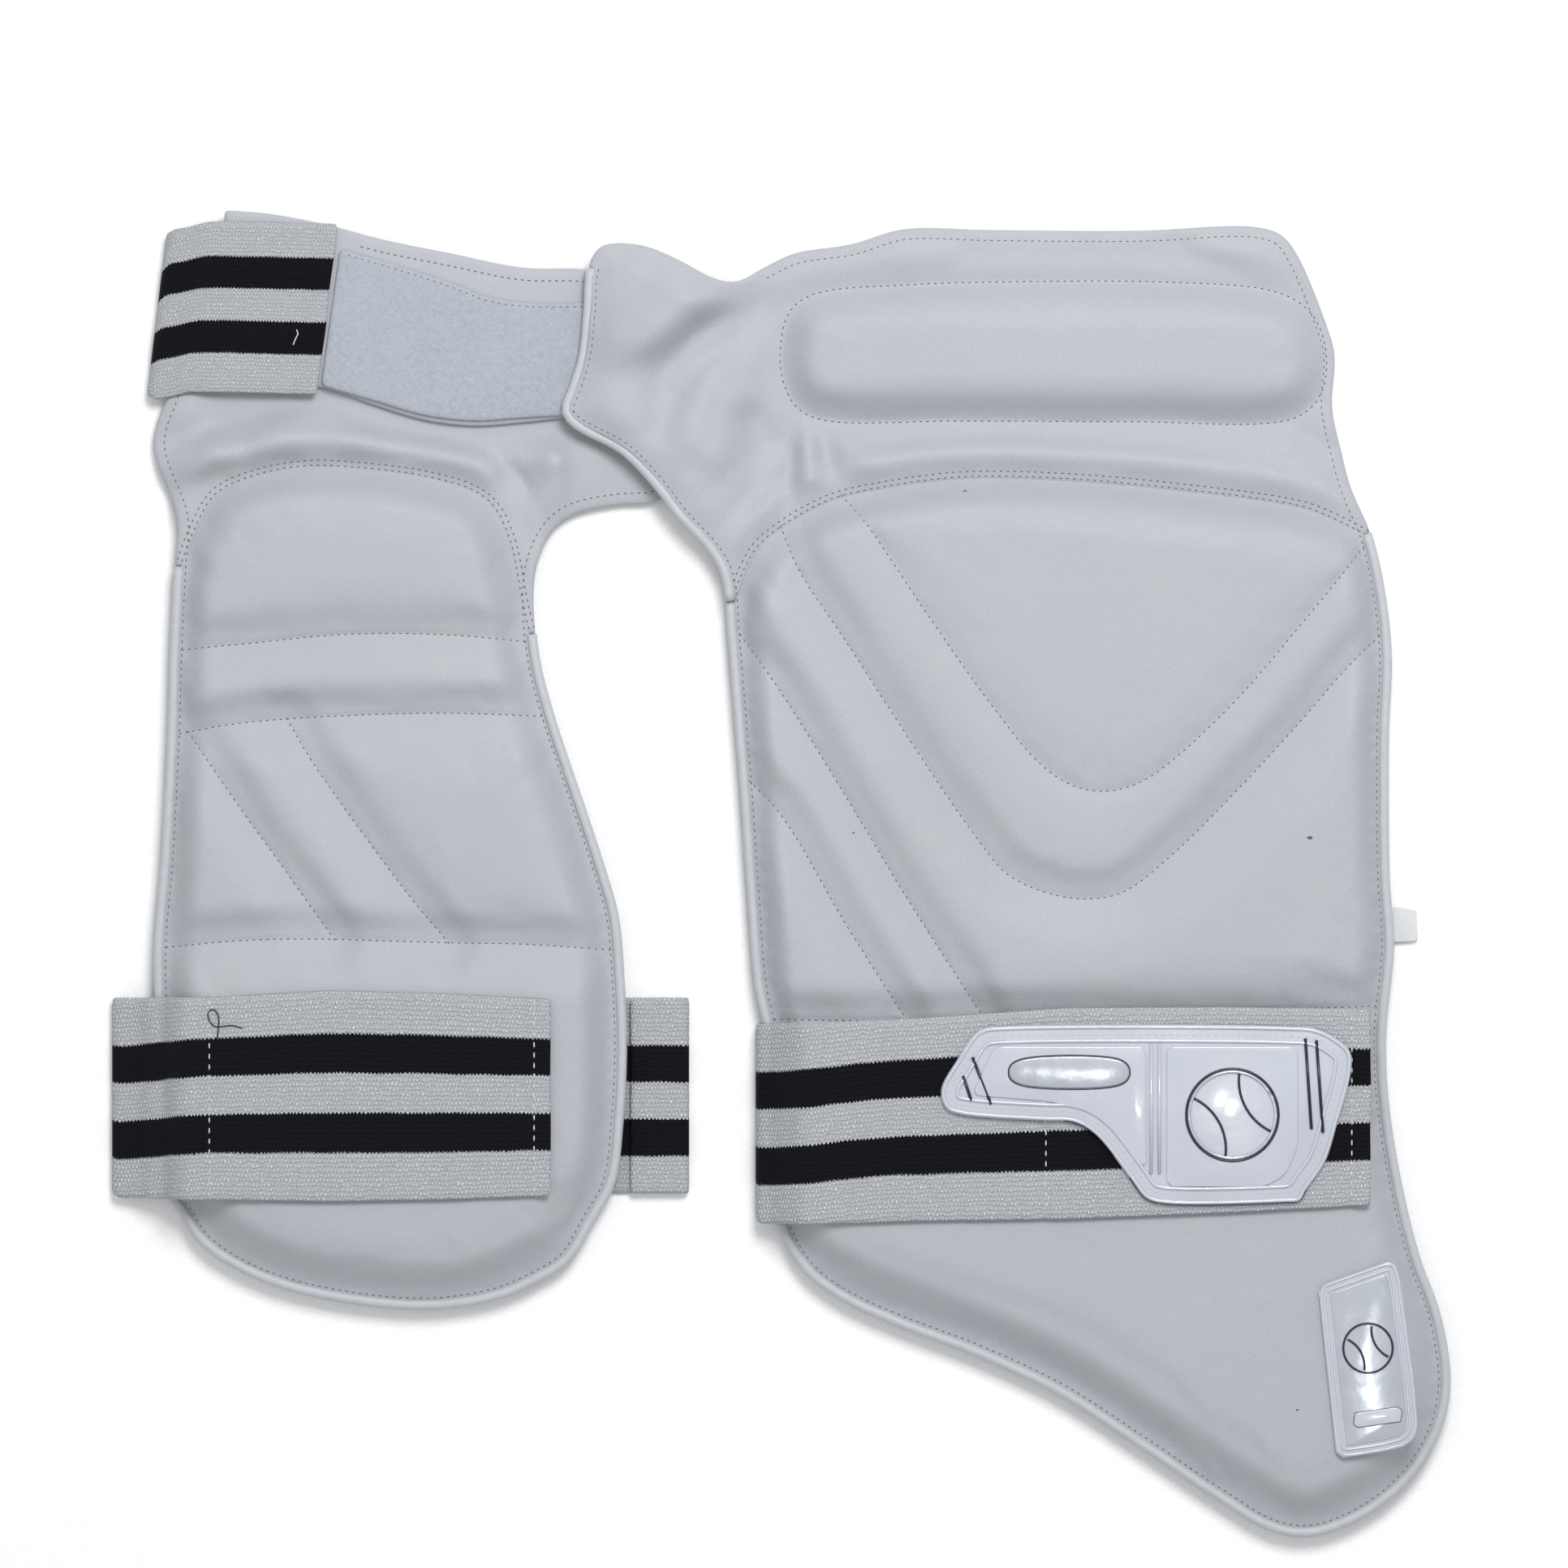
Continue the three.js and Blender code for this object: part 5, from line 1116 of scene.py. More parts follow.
def pad_cover(name, edge, arc, seams, banks, bevels, gathers, place, seed, nodes):
    """Quilts the cover of one guard's pads. A bevel is a width at the edge's start, its end or a row."""
    size = sizes()
    marks = [
        (where if where in (0, 1) else share_of(edge, place(where)), width) for where, width in bevels
    ]
    piece, pinned = quilted(
        name, joined(edge, arc[::-1]), seams,
        lambda points: pad_top(points, edge, marks, banks, gathers, place, seed),
        flat_at(COVER_LOW), "leatherette", size.net,
    )
    swell(piece, pinned, size.swelling)
    subdivided(piece)
    dress(piece, "leatherette", *nodes)


def channel(line):
    """The bank of a sewn channel"""
    size = sizes()
    return line, size.seam_depth, size.seam_flange, size.seam_bevel, size.seam_slope


class GUARD_OT_outer_cover(bpy.types.Operator):
    """Makes the quilted cover of the outer pad"""
    bl_idname = "guard.outer_cover"
    bl_label = "Outer pad cover"

    def execute(self, context):
        size, lines = sizes(), guard()
        seams = [lines.upper_v, lines.lower_v, lines.side_seam, lines.corner_seam, lines.strap_seam]
        banks = [channel(line) for line in seams[1:]]
        banks += [(lines.upper_v, 0.07, 0, 0.004, 0.005), (lines.outer_arc, 1.0, 0, 0.01, size.arc_bevel)]
        side, tail = size.side_bevel, size.tail_bevel
        bevels = [
            (0, side), ((0.062, 0.34), side), ((0.15, 0.224), tail), ((0.96, 0.08), tail),
            ((0.96, 0.264), side), (1, side),
        ]
        pad_cover(
            "outer_cover", lines.outer_pad_edge, lines.outer_arc, seams, banks, bevels, OUTER_GATHERS,
            on_outer, 1.0,
            ("outer_v_panel", "outer_v_rib", "outer_field_pad", "outer_rib_pad", "outer_corner_pad",
             "outer_lower_pad"),
        )
        return {"FINISHED"}


class GUARD_OT_inner_cover(bpy.types.Operator):
    """Makes the quilted cover of the inner pad"""
    bl_idname = "guard.inner_cover"
    bl_label = "Inner pad cover"

    def execute(self, context):
        size, lines = sizes(), guard()
        seams = [lines.upper_band, lines.lower_band, lines.low_seam, lines.wedge_seam, lines.rib_seam]
        banks = [channel(line) for line in seams]
        banks += [(lines.inner_arc, 1.0, 0, 0.01, size.arc_bevel)]
        wide, tail = 1.35 * size.side_bevel, size.tail_bevel
        bevels = [
            (0, size.side_bevel), ((0.012, 0.226), wide), ((0.2, 0.04), tail), ((0.8, 0.03), tail),
            ((0.99, 0.2), wide), (1, wide),
        ]
        pad_cover(
            "inner_cover", lines.inner_pad_edge, lines.inner_arc, seams, banks, bevels, INNER_GATHERS,
            on_inner, 21.0,
            ("inner_top_pad", "inner_band_pad", "inner_wedge_pad", "inner_rib_pad", "inner_side_pad",
             "inner_lower_pad"),
        )
        return {"FINISHED"}


class GUARD_OT_hip_yoke(bpy.types.Operator):
    """Makes the hip yoke with its flap and its sewn-in bolster"""
    bl_idname = "guard.hip_yoke"
    bl_label = "Hip yoke and bolster"

    def execute(self, context):
        size, lines = sizes(), guard()
        rim, piped = inset(lines.outer_rim, YOKE_ROOM), inset(lines.outer_rim, size.tuck)
        corners = [on_outer(row) for row in (YOKE_CORNER, FLAP_CORNER, FLAP_TIP)]
        stops = [lines.outer_arc[-1], *corners, lines.outer_arc[0]]
        edges = zip((rim, rim, piped, piped), stops, stops[1:])
        sewn_under = beside(lines.outer_arc, -SEWN_UNDER)
        ring = joined(*[stretch(edge, start, end, True) for edge, start, end in edges], sewn_under)
        piece, pinned = quilted(
            "hip_yoke_cover", ring, [np.vstack([lines.bolster, lines.bolster[:1]])], hip_top, hip_base,
            "leatherette", size.net,
        )
        swell(piece, pinned, size.swelling / 2)
        subdivided(piece)
        dress(piece, "leatherette", "hip_yoke", "hip_bolster")
        return {"FINISHED"}


class GUARD_OT_inner_yoke(bpy.types.Operator):
    """Makes the inner yoke, whose wing lies under the flap"""
    bl_idname = "guard.inner_yoke"
    bl_label = "Inner yoke"

    def execute(self, context):
        size, lines = sizes(), guard()
        rim = inset(lines.inner_rim, YOKE_ROOM)
        corners = [on_inner(row) for row in ((1.115, 0.984), (1.116, 1.231), (0.577, 1.484), (0.043, 1.547))]
        stops = [lines.inner_arc[-1], *corners, lines.inner_arc[0]]
        ring = joined(*parts(rim, stops), beside(lines.inner_arc, -SEWN_UNDER))
        piece, _ = quilted(
            "inner_yoke_cover", ring, [], inner_yoke_top, inner_yoke_base, "leatherette", size.net,
        )
        subdivided(piece)
        dress(piece, "leatherette", "inner_yoke")
        return {"FINISHED"}


class GUARD_OT_waist_band(bpy.types.Operator):
    """Makes the waist band and the loop patch on it"""
    bl_idname = "guard.waist_band"
    bl_label = "Waist band"

    def execute(self, context):
        size, lines = sizes(), guard()

        def band_top(points):
            edge = nearest(points, lines.band_ring, True)[0]
            soft = BAND_HIGH - 0.0008 * (1 - ease(edge, 0, 0.002))
            soft = soft - 0.0004 * np.exp(-((edge - size.hem) / 0.0009) ** 2)
            return soft + 0.0001 * rough(points, 0.015, 2)

        def loop_top(points):
            edge = nearest(points, lines.loop_ring, True)[0]
            return LOOP_HIGH - 0.0006 * (1 - ease(edge, 0, 0.002)) + 0.00015 * rough(points, 0.02, 6)

        band, _ = quilted(
            "waist_band_cover", lines.band_ring, [], band_top, flat_at(BAND_LOW), "leatherette",
            size.net,
        )
        subdivided(band)
        dress(band, "leatherette", "waist_band")
        loop, _ = quilted(
            "loop_pile_patch", lines.loop_ring, [], loop_top, flat_at(LOOP_LOW - 0.0002), "pile",
            size.net,
        )
        subdivided(loop)
        dress(loop, "loop_pile", "loop_patch")
        return {"FINISHED"}


class GUARD_OT_piping(bpy.types.Operator):
    """Makes the piping along the pads' and the flap's edges"""
    bl_idname = "guard.piping"
    bl_label = "Piping"

    def execute(self, context):
        size, lines = sizes(), guard()
        radius = size.piping / 2

        def piped(name, node, rim, stops, level):
            before, after = parts(inset(rim, radius + 0.00015), stops)
            line = evenly(np.vstack([before, after[1:]]), 0.003)
            path = [(x, y, z + radius) for (x, y), z in zip(line, level(line))]
            dress(tube(name, [path], radius, "binding", sides=4), "binding", node)

        outer, inner = lines.outer_arc, lines.inner_arc
        around = [outer[0], on_outer(OUTER_TIP), outer[-1]]
        piped("outer_edge_piping", "outer_piping", lines.outer_rim, around, flat_at(COVER_LOW))
        around = [inner[0], on_inner(INNER_END), inner[-1]]
        piped("inner_edge_piping", "inner_piping", lines.inner_rim, around, flat_at(COVER_LOW))
        around = [on_outer(FLAP_CORNER), on_outer(FLAP_TIP), outer[0]]
        piped("flap_edge_piping", "flap_piping", lines.outer_rim, around, hip_base)
        return {"FINISHED"}


class GUARD_OT_linings(bpy.types.Operator):
    """Makes the cloth backs of the two pads"""
    bl_idname = "guard.linings"
    bl_label = "Backs"

    def execute(self, context):
        size, lines = sizes(), guard()
        for name, node, rim, arc, far in (
            ("outer_back_cloth", "outer_back_panel", lines.outer_rim, lines.outer_arc, on_outer(OUTER_TIP)),
            ("inner_back_cloth", "inner_back_panel", lines.inner_rim, lines.inner_arc, on_inner(INNER_END)),
        ):
            tab = arc + np.array((0, 0.0065))
            ring = joined(*parts(inset(rim, BACK_ROOM), [arc[-1], far, arc[0]]), tab)
            ring = evenly(ring, size.net)

            def top(points):
                return PANEL_HIGH - 0.0002 + 0.0001 * rough(points, 0.02, 8)

            def under(points, ring=ring):
                edge = nearest(points, ring, True)[0]
                soft = 0.0001 * rough(points, 0.015, 11)
                return PANEL_LOW + 0.0006 * (1 - ease(edge, 0, 0.003)) + 0.0001 + soft

            piece, _ = quilted(name, ring, [], top, under, "lining", 2 * size.net)
            subdivided(piece)
            dress(piece, "lining", node)
        return {"FINISHED"}


# Half an elastic's thickness, the height at which it passes the piping, and how far the inner strap's front
# reaches, in metres
HALF_STRAP = 0.001
STRAP_OVER_PIPING = 0.0032
INNER_FRONT = 0.152


def strap(name, rows, width, node, front, hems):
    """A flat elastic along rows of (x, y, z, lean), with a shallow dip at each hem's stitches"""
    size = sizes()
    path = smooth([np.array(row) for row in rows], 0.0022)
    path[:, 2] = np.maximum(path[:, 2], size.strap / 2 + 0.0001)
    count = len(path)
    reach = np.r_[0, np.cumsum(np.linalg.norm(np.diff(path[:, :3], axis=0), axis=1))]
    shares = front(path, reach)
    bm = bmesh.new()
    bmesh.ops.create_grid(bm, x_segments=count - 1, y_segments=20, size=1)
    uv = bm.loops.layers.uv.verify()
    table = np.array(STRAP_EDGES)
    place = {}
    for vert in bm.verts:
        i = round((vert.co.x + 1) / 2 * (count - 1))
        across = (vert.co.y + 1) / 2
        x, y, z, lean = path[i]
        low = np.interp(shares[i], table[:, 0], table[:, 1]) if shares[i] >= 0 else 0.0
        high = np.interp(shares[i], table[:, 0], table[:, 2]) if shares[i] >= 0 else 0.0
        offset = (across - 0.5) * width - low * width * (1 - across) + high * width * across
        lift = 0.0
        if shares[i] > 0.06:
            lift = 0.00025 * (1 + noise.noise(Vector((x * 45, offset * 60, len(name)))))
            lift -= sum(0.0005 * math.exp(-((reach[i] - reach[-1] - hem) / 0.0016) ** 2) for hem in hems)
        droop = 0.04 * (1 - ease(max(shares[i], 0), 0, 0.24))
        place[vert.index] = (reach[i] / width, across + droop)
        frayed = 0.0004 * noise.noise(Vector((i * 0.3, across * 4, 1.0))) * (i in (0, count - 1))
        vert.co = (x + lean * offset + frayed, y + offset, z + lift)
    for face in bm.faces:
        for loop in face.loops:
            loop[uv].uv = place[loop.vert.index]
    piece = finished(name, bm, "elastic")
    wall = piece.modifiers.new("Elastic thickness", "SOLIDIFY")
    wall.thickness = size.strap
    wall.offset = 0
    subdivided(piece)
    dress(piece, "striped_elastic", node)
    return piece


class GUARD_OT_straps(bpy.types.Operator):
    """Makes the two thigh straps and the waist elastic"""
    bl_idname = "guard.straps"
    bl_label = "Elastics"

    def execute(self, context):
        size, lines = sizes(), guard()
        half, cord = HALF_STRAP, STRAP_OVER_PIPING
        front = COVER_HIGH + CLEARANCE + half

        # The outer strap: behind the pad, round its left edge and over the front
        low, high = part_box("outer_thigh_strap")
        fold = low.x + half
        end = high.x - 0.0003
        left_y, right_y = on_outer((0, 0.392))[1], on_outer((0, 0.407))[1]
        profile = [
            (end, half), (fold + 0.12, half), (fold + 0.06, half), (fold + 0.0016, half),
            (fold + 0.0005, half + 0.0004), (fold, PANEL_LOW), (fold, COVER_LOW),
            (fold + 0.0002, COVER_LOW + cord), (fold + 0.0014, COVER_LOW + cord + 0.0016),
            (fold + 0.0041, COVER_LOW + cord + 0.0026), (fold + 0.0091, COVER_LOW + 0.0105),
            (fold + 0.0161, front - 0.0004), (fold + 0.0201, front), (fold + 0.06, front),
            (fold + 0.12, front), (end, front),
        ]
        rows = [(x, left_y + (right_y - left_y) * (x - fold) / (end - fold), z, 0) for x, z in profile]

        def outer_front(path, reach):
            return np.where(path[:, 2] > COVER_LOW, (path[:, 0] - fold) / (end - fold), -1)

        strap("outer_strap", rows, size.strap_width, "outer_thigh_strap", outer_front, (-0.0075, -0.1125))

        # The inner strap: sewn to the back's right edge, folded, along the surface and over the front
        low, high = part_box("inner_thigh_strap")
        y = on_inner((0, 0.254))[1]
        beside_strap = [x for x, py in lines.inner_rim if abs(py - y) < 0.034]
        left, right = min(beside_strap), max(beside_strap)
        fold, turn = low.x + half, high.x - half
        sewn = PANEL_LOW + 0.00015 + half
        crossing = COVER_LOW + cord + CLEARANCE + half
        top = left + 0.0041 + 0.0098
        profile = [
            (right + 0.0008, sewn), (turn - 0.008, sewn), (turn - 0.002, sewn),
            (turn - 0.0005, sewn - 0.0003), (turn, (sewn + half) / 2), (turn - 0.0005, half + 0.0003),
            (turn - 0.002, half), (turn - 0.05, half),
            (fold + 0.05, half), (fold + 0.002, half), (fold + 0.0005, half + 0.0004), (fold, half + 0.0017),
            (fold + 0.0007, half + 0.003), (fold + 0.003, half + 0.0042), (left - 0.004, crossing - 0.0022),
            (left - 0.0005, crossing + 0.0008), (left + 0.0041, crossing + 0.0026),
            (left + 0.0081, crossing + 0.008), (top - 0.002, front - 0.0004), (top + 0.0015, front),
            (top + 0.06, front), (fold + INNER_FRONT, front),
        ]
        rows = [(x, y, z, 0) for x, z in profile]

        def inner_front(path, reach):
            on_top = (path[:, 2] > half + 0.0035) & (reach > 0.15)
            return np.where(on_top, (path[:, 0] - fold) / INNER_FRONT, -1)

        strap("inner_strap", rows, size.strap_width, "inner_thigh_strap", inner_front, (-0.0087, -0.1204))

        # The waist elastic: sewn on the band, folded at the left, then behind both guards
        front = BAND_HIGH + CLEARANCE + half
        corner = on_inner((0.012, 1.592))
        lean = 0.12
        behind_outer = ((0.745, 1.46), (0.55, 1.4), (0.35, 1.35), (0.15, 1.33))
        behind_inner = ((1.1, 1.32), (0.8, 1.36), (0.543, 1.42), (0.3, 1.54))
        rows = [(*on_outer(row), half, 0) for row in behind_outer]
        rows += [(*on_inner(row), half, 0) for row in behind_inner]
        rows += [
            (*on_inner((0.12, 1.59)), half, lean / 2), (corner[0] + 0.002, corner[1], half, lean),
            (corner[0] + 0.0005, corner[1], half + 0.0007, lean),
            (corner[0], corner[1], (front - 0.0026 + half) / 2, lean),
            (corner[0] + 0.0004, corner[1], front - 0.0036, lean),
            (corner[0] + 0.002, corner[1], front - 0.0026, lean),
            (*on_inner((0.055, 1.6)), front - 0.0019, lean), (*on_inner((0.1, 1.62)), front - 0.0005, lean),
            (*on_inner((0.14, 1.62)), front, lean), (*on_inner((0.372, 1.611)), front, lean),
        ]

        def waist_front(path, reach):
            return np.where(path[:, 2] > half + 0.004, 0.3, -1)

        strap("waist_elastic_strap", rows, size.elastic_width, "waist_elastic", waist_front, (-0.0088,))
        return {"FINISHED"}


def ball_motif(centre, radius, level, turn=0.0):
    """Paths of a plain ball's outline and its two seams"""
    def arc(middle, reach, start, end, count=24):
        angles = np.linspace(start, end, count)
        return np.column_stack([middle[0] + reach * np.cos(angles), middle[1] + reach * np.sin(angles)])

    paths = [arc((0, 0), radius, 0, 2 * math.pi, 49)]
    for side in (-1, 1):
        middle = (side * 1.55 * radius, 0)
        half_angle = 0.62
        facing = math.pi if side > 0 else 0
        paths.append(arc(middle, 1.22 * radius, facing - half_angle, facing + half_angle))
    spin = turned(turn)
    return [[(*(centre + spin @ point), level) for point in path] for path in paths]


def turned(angle):
    return np.array([[math.cos(angle), -math.sin(angle)], [math.sin(angle), math.cos(angle)]])


def at_level(line, level):
    return [(x, y, level) for x, y in line]


def softened(ring, cut):
    """A ring whose corners are cut off"""
    soft = []
    for i, point in enumerate(ring):
        for other in (ring[i - 1], ring[(i + 1) % len(ring)]):
            soft.append(point + (other - point) * min(0.3, cut / np.linalg.norm(other - point)))
    return soft


class GUARD_OT_badge(bpy.types.Operator):
    """Makes the moulded badge on the outer strap"""
    bl_idname = "guard.badge"
    bl_label = "Strap badge"

    def execute(self, context):
        size = sizes()
        corner = on_outer(BADGE_PLACE)

        def place(row):
            return corner + np.array((row[0] * size.badge_length, row[1] * size.badge_width))

        def clear(piece, *nodes):
            dress(piece, "clear_moulding", *nodes)
            return piece

        ring = smooth([place(row) for row in BADGE], OUTLINE_STEP, True)
        low = BADGE_LOW + 0.0002
        flat = low + 0.0013
        base = clear(plate("badge_base", ring, low, flat, 0.0006, "clear"), "strap_badge")
        beads = [at_level(inset(ring, offset), flat) for offset in (0.0009, 0.0056)]
        bead = clear(tube("badge_beads", beads, 0.0007, "clear", closed=True))
        for name, rows in (("badge_left_panel", BADGE_LEFT_PANEL), ("badge_right_panel", BADGE_RIGHT_PANEL)):
            outline = evenly(softened([place(row) for row in rows], 0.0018), OUTLINE_STEP, True)
            clear(plate(name, outline, flat - 0.0002, flat + 0.0007, 0.0004, "clear"))
        shallow = flat + 0.0003
        ridges = [at_level([place((x, 0.9)), place((x, 0.17))], shallow) for x in (0.512, 0.532)]
        clear(tube("badge_ridges", ridges, 0.0006, "clear"))
        level = flat + 0.0008
        middle, radius = place((0.71, 0.5)), 0.26 * size.badge_width
        clear(tube("badge_ball", ball_motif(middle, radius, level, 0.5), 0.00045, "ink"))
        silver = ball_motif(middle, radius - 0.001, level, 0.5)[:1]
        clear(tube("badge_ball_ring", silver, 0.0006, "silver"))
        bar = smooth([place(row) for row in BADGE_BAR], OUTLINE_STEP, True)
        clear(plate("badge_bar", bar, flat, flat + 0.0013, 0.0004, "silver"))
        outline = [at_level(beside(bar, 0.0004, True), level)]
        clear(tube("badge_bar_line", outline, 0.00025, "ink", closed=True))
        bars = [at_level([place(start), place(end)], shallow) for start, end in BADGE_BARS]
        clear(tube("badge_bars", bars, 0.00055, "ink"))
        edge = inset(ring, 0.0003)
        lower = at_level(stretch(edge, place((0.459, 0.147)), place((0.891, 0.078)), True), low + 0.0007)
        upper = at_level(stretch(edge, place((0.3, 0.45)), place((0.42, 0.27)), True), low + 0.0009)
        clear(tube("badge_edge_line", [lower, upper], 0.00045, "ink"))
        bm = bmesh.new()
        height = surface_of(base, bead)
        stitch_row(bm, inset(ring, 0.0035), height, 0.0026, 0.0015, 0.0005, closed=True)
        clear(finished("badge_stitches", bm, "white thread"))
        return {"FINISHED"}


class GUARD_OT_patch_and_tag(bpy.types.Operator):
    """Makes the corner patch and the side tag"""
    bl_idname = "guard.patch_and_tag"
    bl_label = "Corner patch and tag"

    def execute(self, context):
        size = sizes()
        centre = on_outer(PATCH_PLACE)
        spin = turned(math.radians(8))

        def place(point):
            return centre + spin @ np.array(point) + np.array((0.0005, -0.001))

        full = np.array((size.patch_width, size.patch_length))
        outline = [centre + row * full for row in np.array(PATCH)]
        ring = evenly(softened(outline, 0.0022), 0.0015, True)
        low = PATCH_LOW
        base = plate("patch_base", ring, low, low + 0.001, 0.0004, "clear")
        dress(base, "silver_moulding", "corner_patch")
        beads = [at_level(inset(ring, offset), low + 0.001) for offset in (0.0007, 0.0026)]
        dress(tube("patch_bead", beads, 0.0005, "clear", closed=True), "silver_moulding")
        raised = inset(ring, 0.0038)
        panel = plate("patch_panel", raised, low + 0.0008, low + 0.0014, 0.0003, "silver")
        dress(panel, "silver_moulding")
        level = low + 0.0015
        motif = ball_motif(place((0, 0.0085)), 0.0085, level, 0.5)
        dress(tube("patch_ball", motif, 0.0004, "ink"), "silver_moulding")
        bar = evenly([place(point) for point in PATCH_BAR], OUTLINE_STEP, True)
        raised = plate("patch_bar", bar, level - 0.0002, level + 0.0006, 0.0003, "clear")
        dress(raised, "silver_moulding")
        edge = [at_level(bar, level)]
        dress(tube("patch_bar_line", edge, 0.00022, "ink", closed=True), "silver_moulding")

        low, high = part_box("side_tag")
        tag = np.array([
            (low.x, low.y), (high.x, low.y + 0.0006), (high.x - 0.0006, high.y - 0.0018), (low.x, high.y),
        ])
        piece = plate("side_tag_cloth", evenly(tag, 0.002, True), low.z, high.z, 0.0002, "tag")
        dress(piece, "lining", "side_tag")
        return {"FINISHED"}


class GUARD_OT_stitches(bpy.types.Operator):
    """Sews the rows of stitches along seams and hems"""
    bl_idname = "guard.stitches"
    bl_label = "Stitches"

    def execute(self, context):
        size, lines = sizes(), guard()

        def sewn(name, thread, rows, *pieces):
            bm = bmesh.new()
            height = surface_of(*[_made[piece] for piece in pieces])
            for line, pitch, stitch, closed in rows:
                stitch_row(bm, line, height, pitch, *stitch, closed=closed)
            dress(finished(name, bm, thread), "binding")

        pitch = size.stitch_pitch
        outer, inner = lines.outer_arc, lines.inner_arc
        seams = [lines.upper_v, lines.lower_v, lines.side_seam, lines.corner_seam, lines.strap_seam]
        seams += [outer, beside(outer, SECOND_ROW)]
        hem = inset(lines.outer_rim, size.hem)
        seams += parts(hem, [outer[0], on_outer((0.5, 0.115)), on_outer((0.958, 0.264)), outer[-1]])
        rows = [(line, pitch, STITCH, False) for line in seams] + [(lines.bolster, pitch, STITCH, True)]
        hems = parts(hem, [outer[-1], on_outer(YOKE_CORNER), on_outer((0.05, 1.832))])
        hems += parts(hem, [on_outer(FLAP_CORNER), on_outer(FLAP_TIP), outer[0]])
        rows += [(line, pitch, FINE_STITCH, False) for line in hems]
        sewn("outer_stitches", "thread", rows, "outer_cover", "hip_yoke_cover")

        seams = [lines.upper_band, lines.lower_band, lines.low_seam, lines.wedge_seam, lines.rib_seam]
        seams += [inner, beside(inner, SECOND_ROW)]
        hem = inset(lines.inner_rim, size.hem)
        seams += parts(hem, [inner[0], on_inner(INNER_END), inner[-1]])
        for end, row in ((inner[0], (0.029, 1.282)), (inner[-1], (1.07, 0.956))):
            seams += parts(hem, [end, on_inner(row)])
        rows = [(line, pitch, STITCH, False) for line in seams]
        sewn("inner_stitches", "thread", rows, "inner_cover", "inner_yoke_cover")

        rows = [
            (line, pitch, stitch, False)
            for ring, room, start, end, stitch in (
                (lines.band_ring, size.hem, (0.45, 1.9), (1.04, 1.722), BAND_STITCH),
                (lines.loop_ring, LOOP_HEM, (0.42, 1.837), (1.03, 1.649), LOOP_STITCH),
            )
            for line in parts(inset(ring, room), [on_inner(start), on_inner(end)])
        ]
        sewn("band_stitches", "thread", rows, "waist_band_cover", "loop_pile_patch")

        columns = [
            (on_outer((0.44, 0.48)), on_outer((0.44, 0.315))),
            (on_outer((0.859, 0.49)), on_outer((0.859, 0.325))),
            (on_inner((0.127, 0.365)), on_inner((0.127, 0.14))),
            (on_inner((0.81, 0.365)), on_inner((0.81, 0.145))),
        ]
        rows = [
            (np.array([start, (start + end) / 2, end]), ELASTIC_PITCH, ELASTIC_STITCH, False)
            for start, end in columns
        ]
        sewn("elastic_stitches", "white thread", rows, "outer_strap", "inner_strap", "waist_elastic_strap")
        return {"FINISHED"}


class GUARD_OT_threads(bpy.types.Operator):
    """Lays the loose threads and the lint"""
    bl_idname = "guard.threads"
    bl_label = "Loose threads"

    def execute(self, context):
        top = surface_of(_made["inner_strap"], _made["inner_cover"], _made["waist_elastic_strap"])

        def laid(rows):
            path = []
            for x, y in smooth([on_inner(row) for row in rows], 0.0008):
                found = top(x, y)
                path.append((x, y, (found[0].z if found else COVER_HIGH) + CLEARANCE))
            return path

        dark = laid(DARK_THREAD)
        dress(tube("loose_dark_thread", [dark], 0.00022, "black thread"), "binding")
        bm = bmesh.new()
        pads = surface_of(_made["outer_cover"], _made["inner_cover"], _made["hip_yoke_cover"])
        for place, width in SPECKS:
            x, y = on_outer(place)
            found = pads(x, y)
            small_bead(bm, found[0], (width, width * 0.6, 0.0001))
        dress(finished("specks", bm, "thread"), "binding")
        light = laid(LIGHT_THREAD)
        dress(tube("loose_light_thread", [light], 0.0002, "white thread"), "binding")
        return {"FINISHED"}


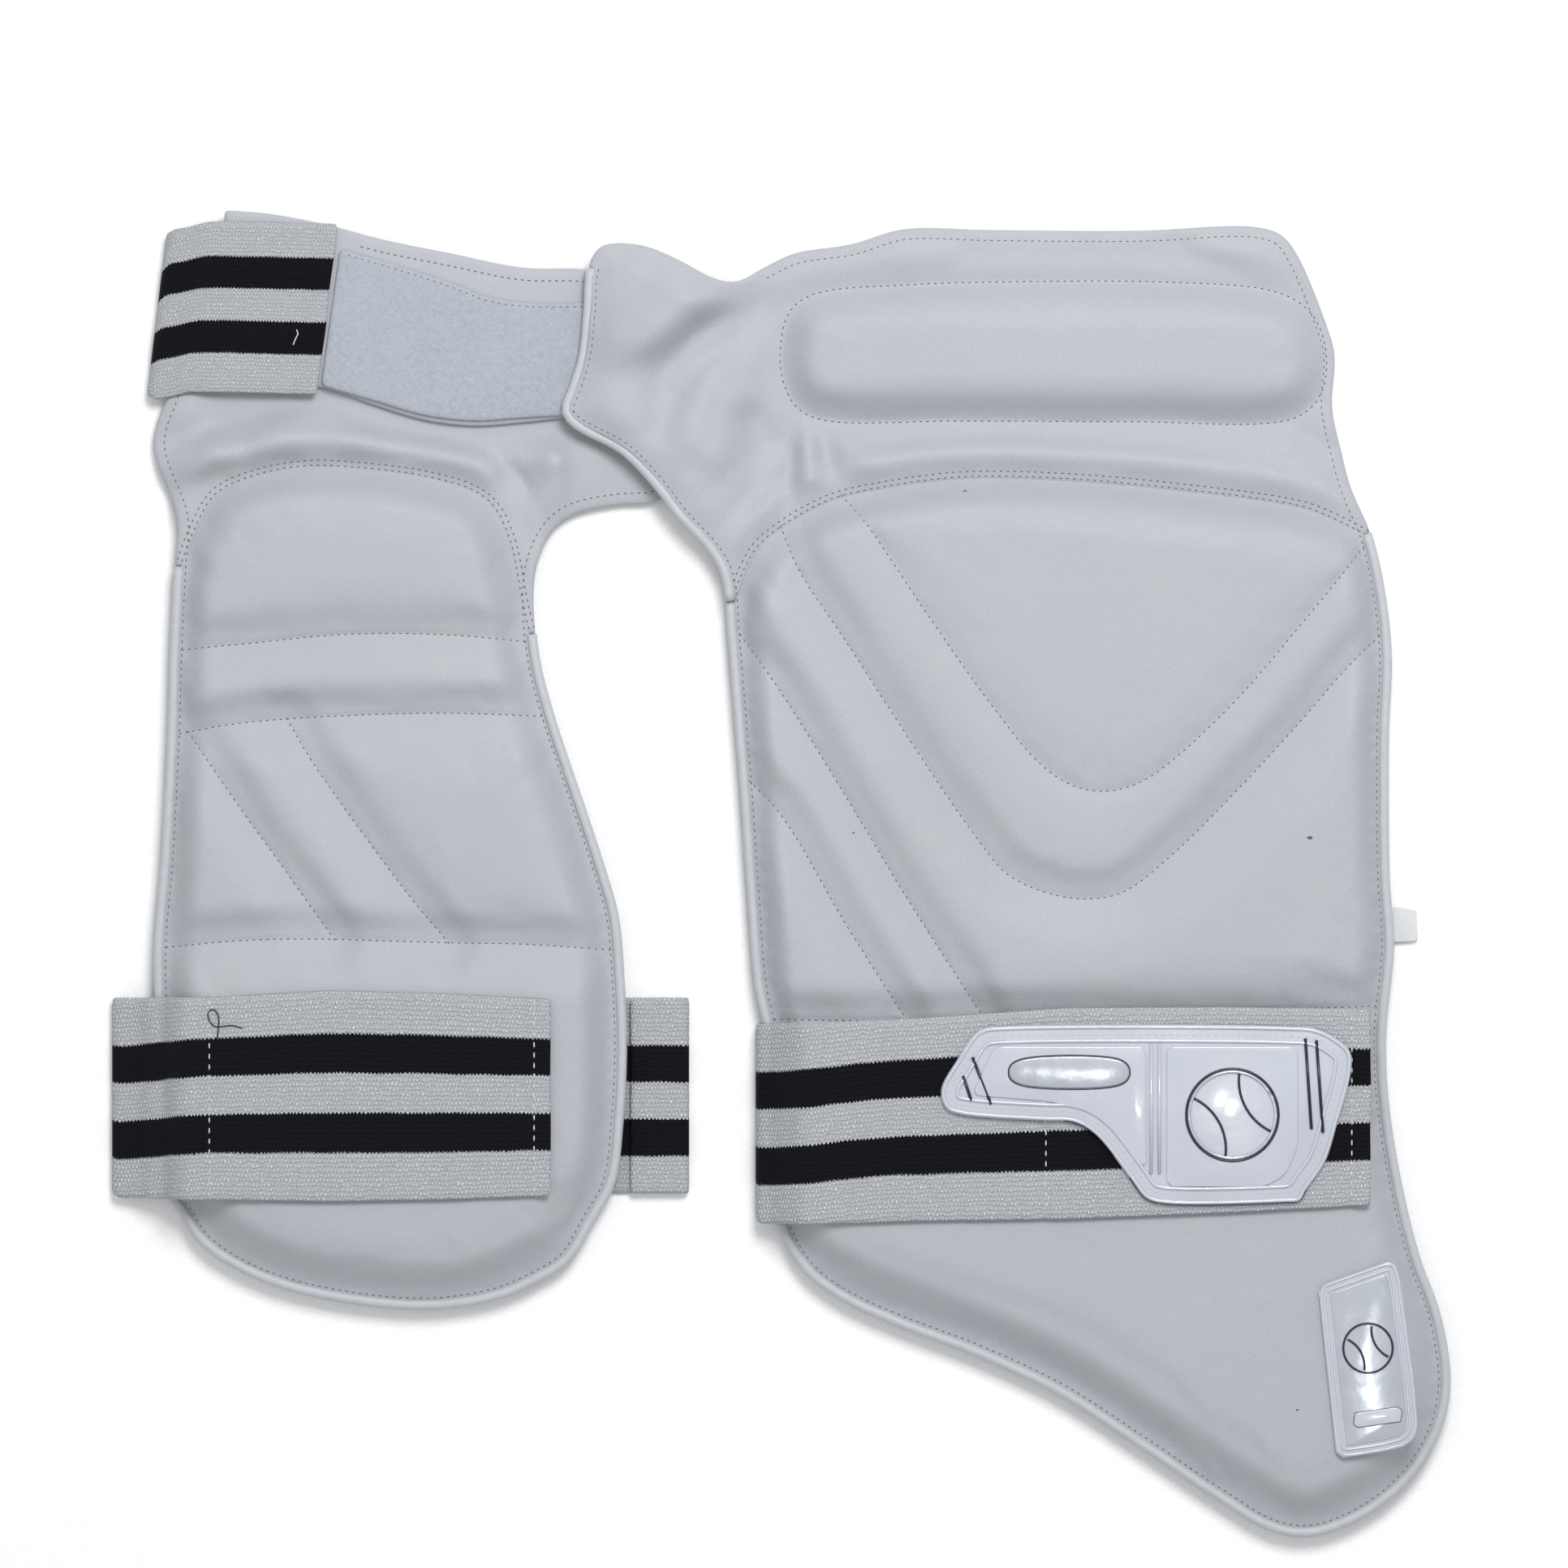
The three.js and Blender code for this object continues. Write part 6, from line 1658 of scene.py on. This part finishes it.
class GUARD_OT_stage(bpy.types.Operator):
    """Sets the floor, the soft studio light and the camera straight above"""
    bl_idname = "guard.stage"
    bl_label = "Floor, light and camera"

    def execute(self, context):
        scene = context.scene
        bm = bmesh.new()
        bmesh.ops.create_grid(bm, x_segments=1, y_segments=1, size=4)
        bmesh.ops.translate(bm, verts=bm.verts, vec=(0, 0, -0.0002))
        floor = finished("floor", bm, "floor", flat=True)
        world = bpy.data.worlds.new("soft studio")
        world.use_nodes = True
        background = world.node_tree.nodes["Background"]
        background.inputs["Color"].default_value = (0.97, 0.985, 1, 1)
        background.inputs["Strength"].default_value = 0.64
        scene.world = world
        lamps = (
            ("key", (0.26, 0.8, 1.4), 19.0, 0.6), ("fill", (-1.3, -0.2, 1.6), 2.5, 1.6),
            ("badge glint", (0.273, -0.236, 3.1), 3.0, 0.06), ("patch glint", (0.4, -0.36, 3.1), 1.6, 0.11),
        )
        for name, place, power, width in lamps:
            light = bpy.data.lights.new(name, "AREA")
            light.energy = power
            light.size = width
            lamp = bpy.data.objects.new(name, light)
            lamp.location = place
            lamp.rotation_euler = (-Vector(place)).to_track_quat("-Z", "Y").to_euler()
            scene.collection.objects.link(lamp)
        camera = bpy.data.cameras.new("camera")
        camera.sensor_width = 36
        camera.lens = 200
        holder = bpy.data.objects.new("camera", camera)
        holder.location = (0.00126, 0.03108, 0.012 + 0.541 * camera.lens / camera.sensor_width)
        camera.clip_end = 20
        scene.collection.objects.link(holder)
        scene.camera = holder
        scene.view_settings.view_transform = "Standard"
        return {"FINISHED"}


class GUARD_PT_panel(bpy.types.Panel):
    """The thigh guard's pieces, sizes and colours"""
    bl_idname = "GUARD_PT_panel"
    bl_label = "Thigh guard"
    bl_space_type = "VIEW_3D"
    bl_region_type = "UI"
    bl_category = "Thigh guard"

    def draw(self, context):
        for piece in PIECES:
            self.layout.operator(piece.bl_idname)
        for group in (context.scene.guard_sizes, context.scene.guard_colours):
            box = self.layout.box()
            for name in group.__annotations__:
                box.prop(group, name)


PIECES = (
    GUARD_OT_outer_cover, GUARD_OT_inner_cover, GUARD_OT_hip_yoke, GUARD_OT_inner_yoke, GUARD_OT_waist_band,
    GUARD_OT_piping, GUARD_OT_linings, GUARD_OT_straps, GUARD_OT_badge, GUARD_OT_patch_and_tag,
    GUARD_OT_stitches, GUARD_OT_threads, GUARD_OT_stage,
)
CLASSES = (GuardSizes, GuardColours, *PIECES, GUARD_PT_panel)


def register():
    for item in CLASSES:
        bpy.utils.register_class(item)
    bpy.types.Scene.guard_sizes = PointerProperty(type=GuardSizes)
    bpy.types.Scene.guard_colours = PointerProperty(type=GuardColours)


def unregister():
    del bpy.types.Scene.guard_colours
    del bpy.types.Scene.guard_sizes
    for item in reversed(CLASSES):
        bpy.utils.unregister_class(item)


def main():
    register()
    for piece in PIECES:
        group, name = piece.bl_idname.split(".")
        getattr(getattr(bpy.ops, group), name)()


if __name__ == "__main__":
    main()
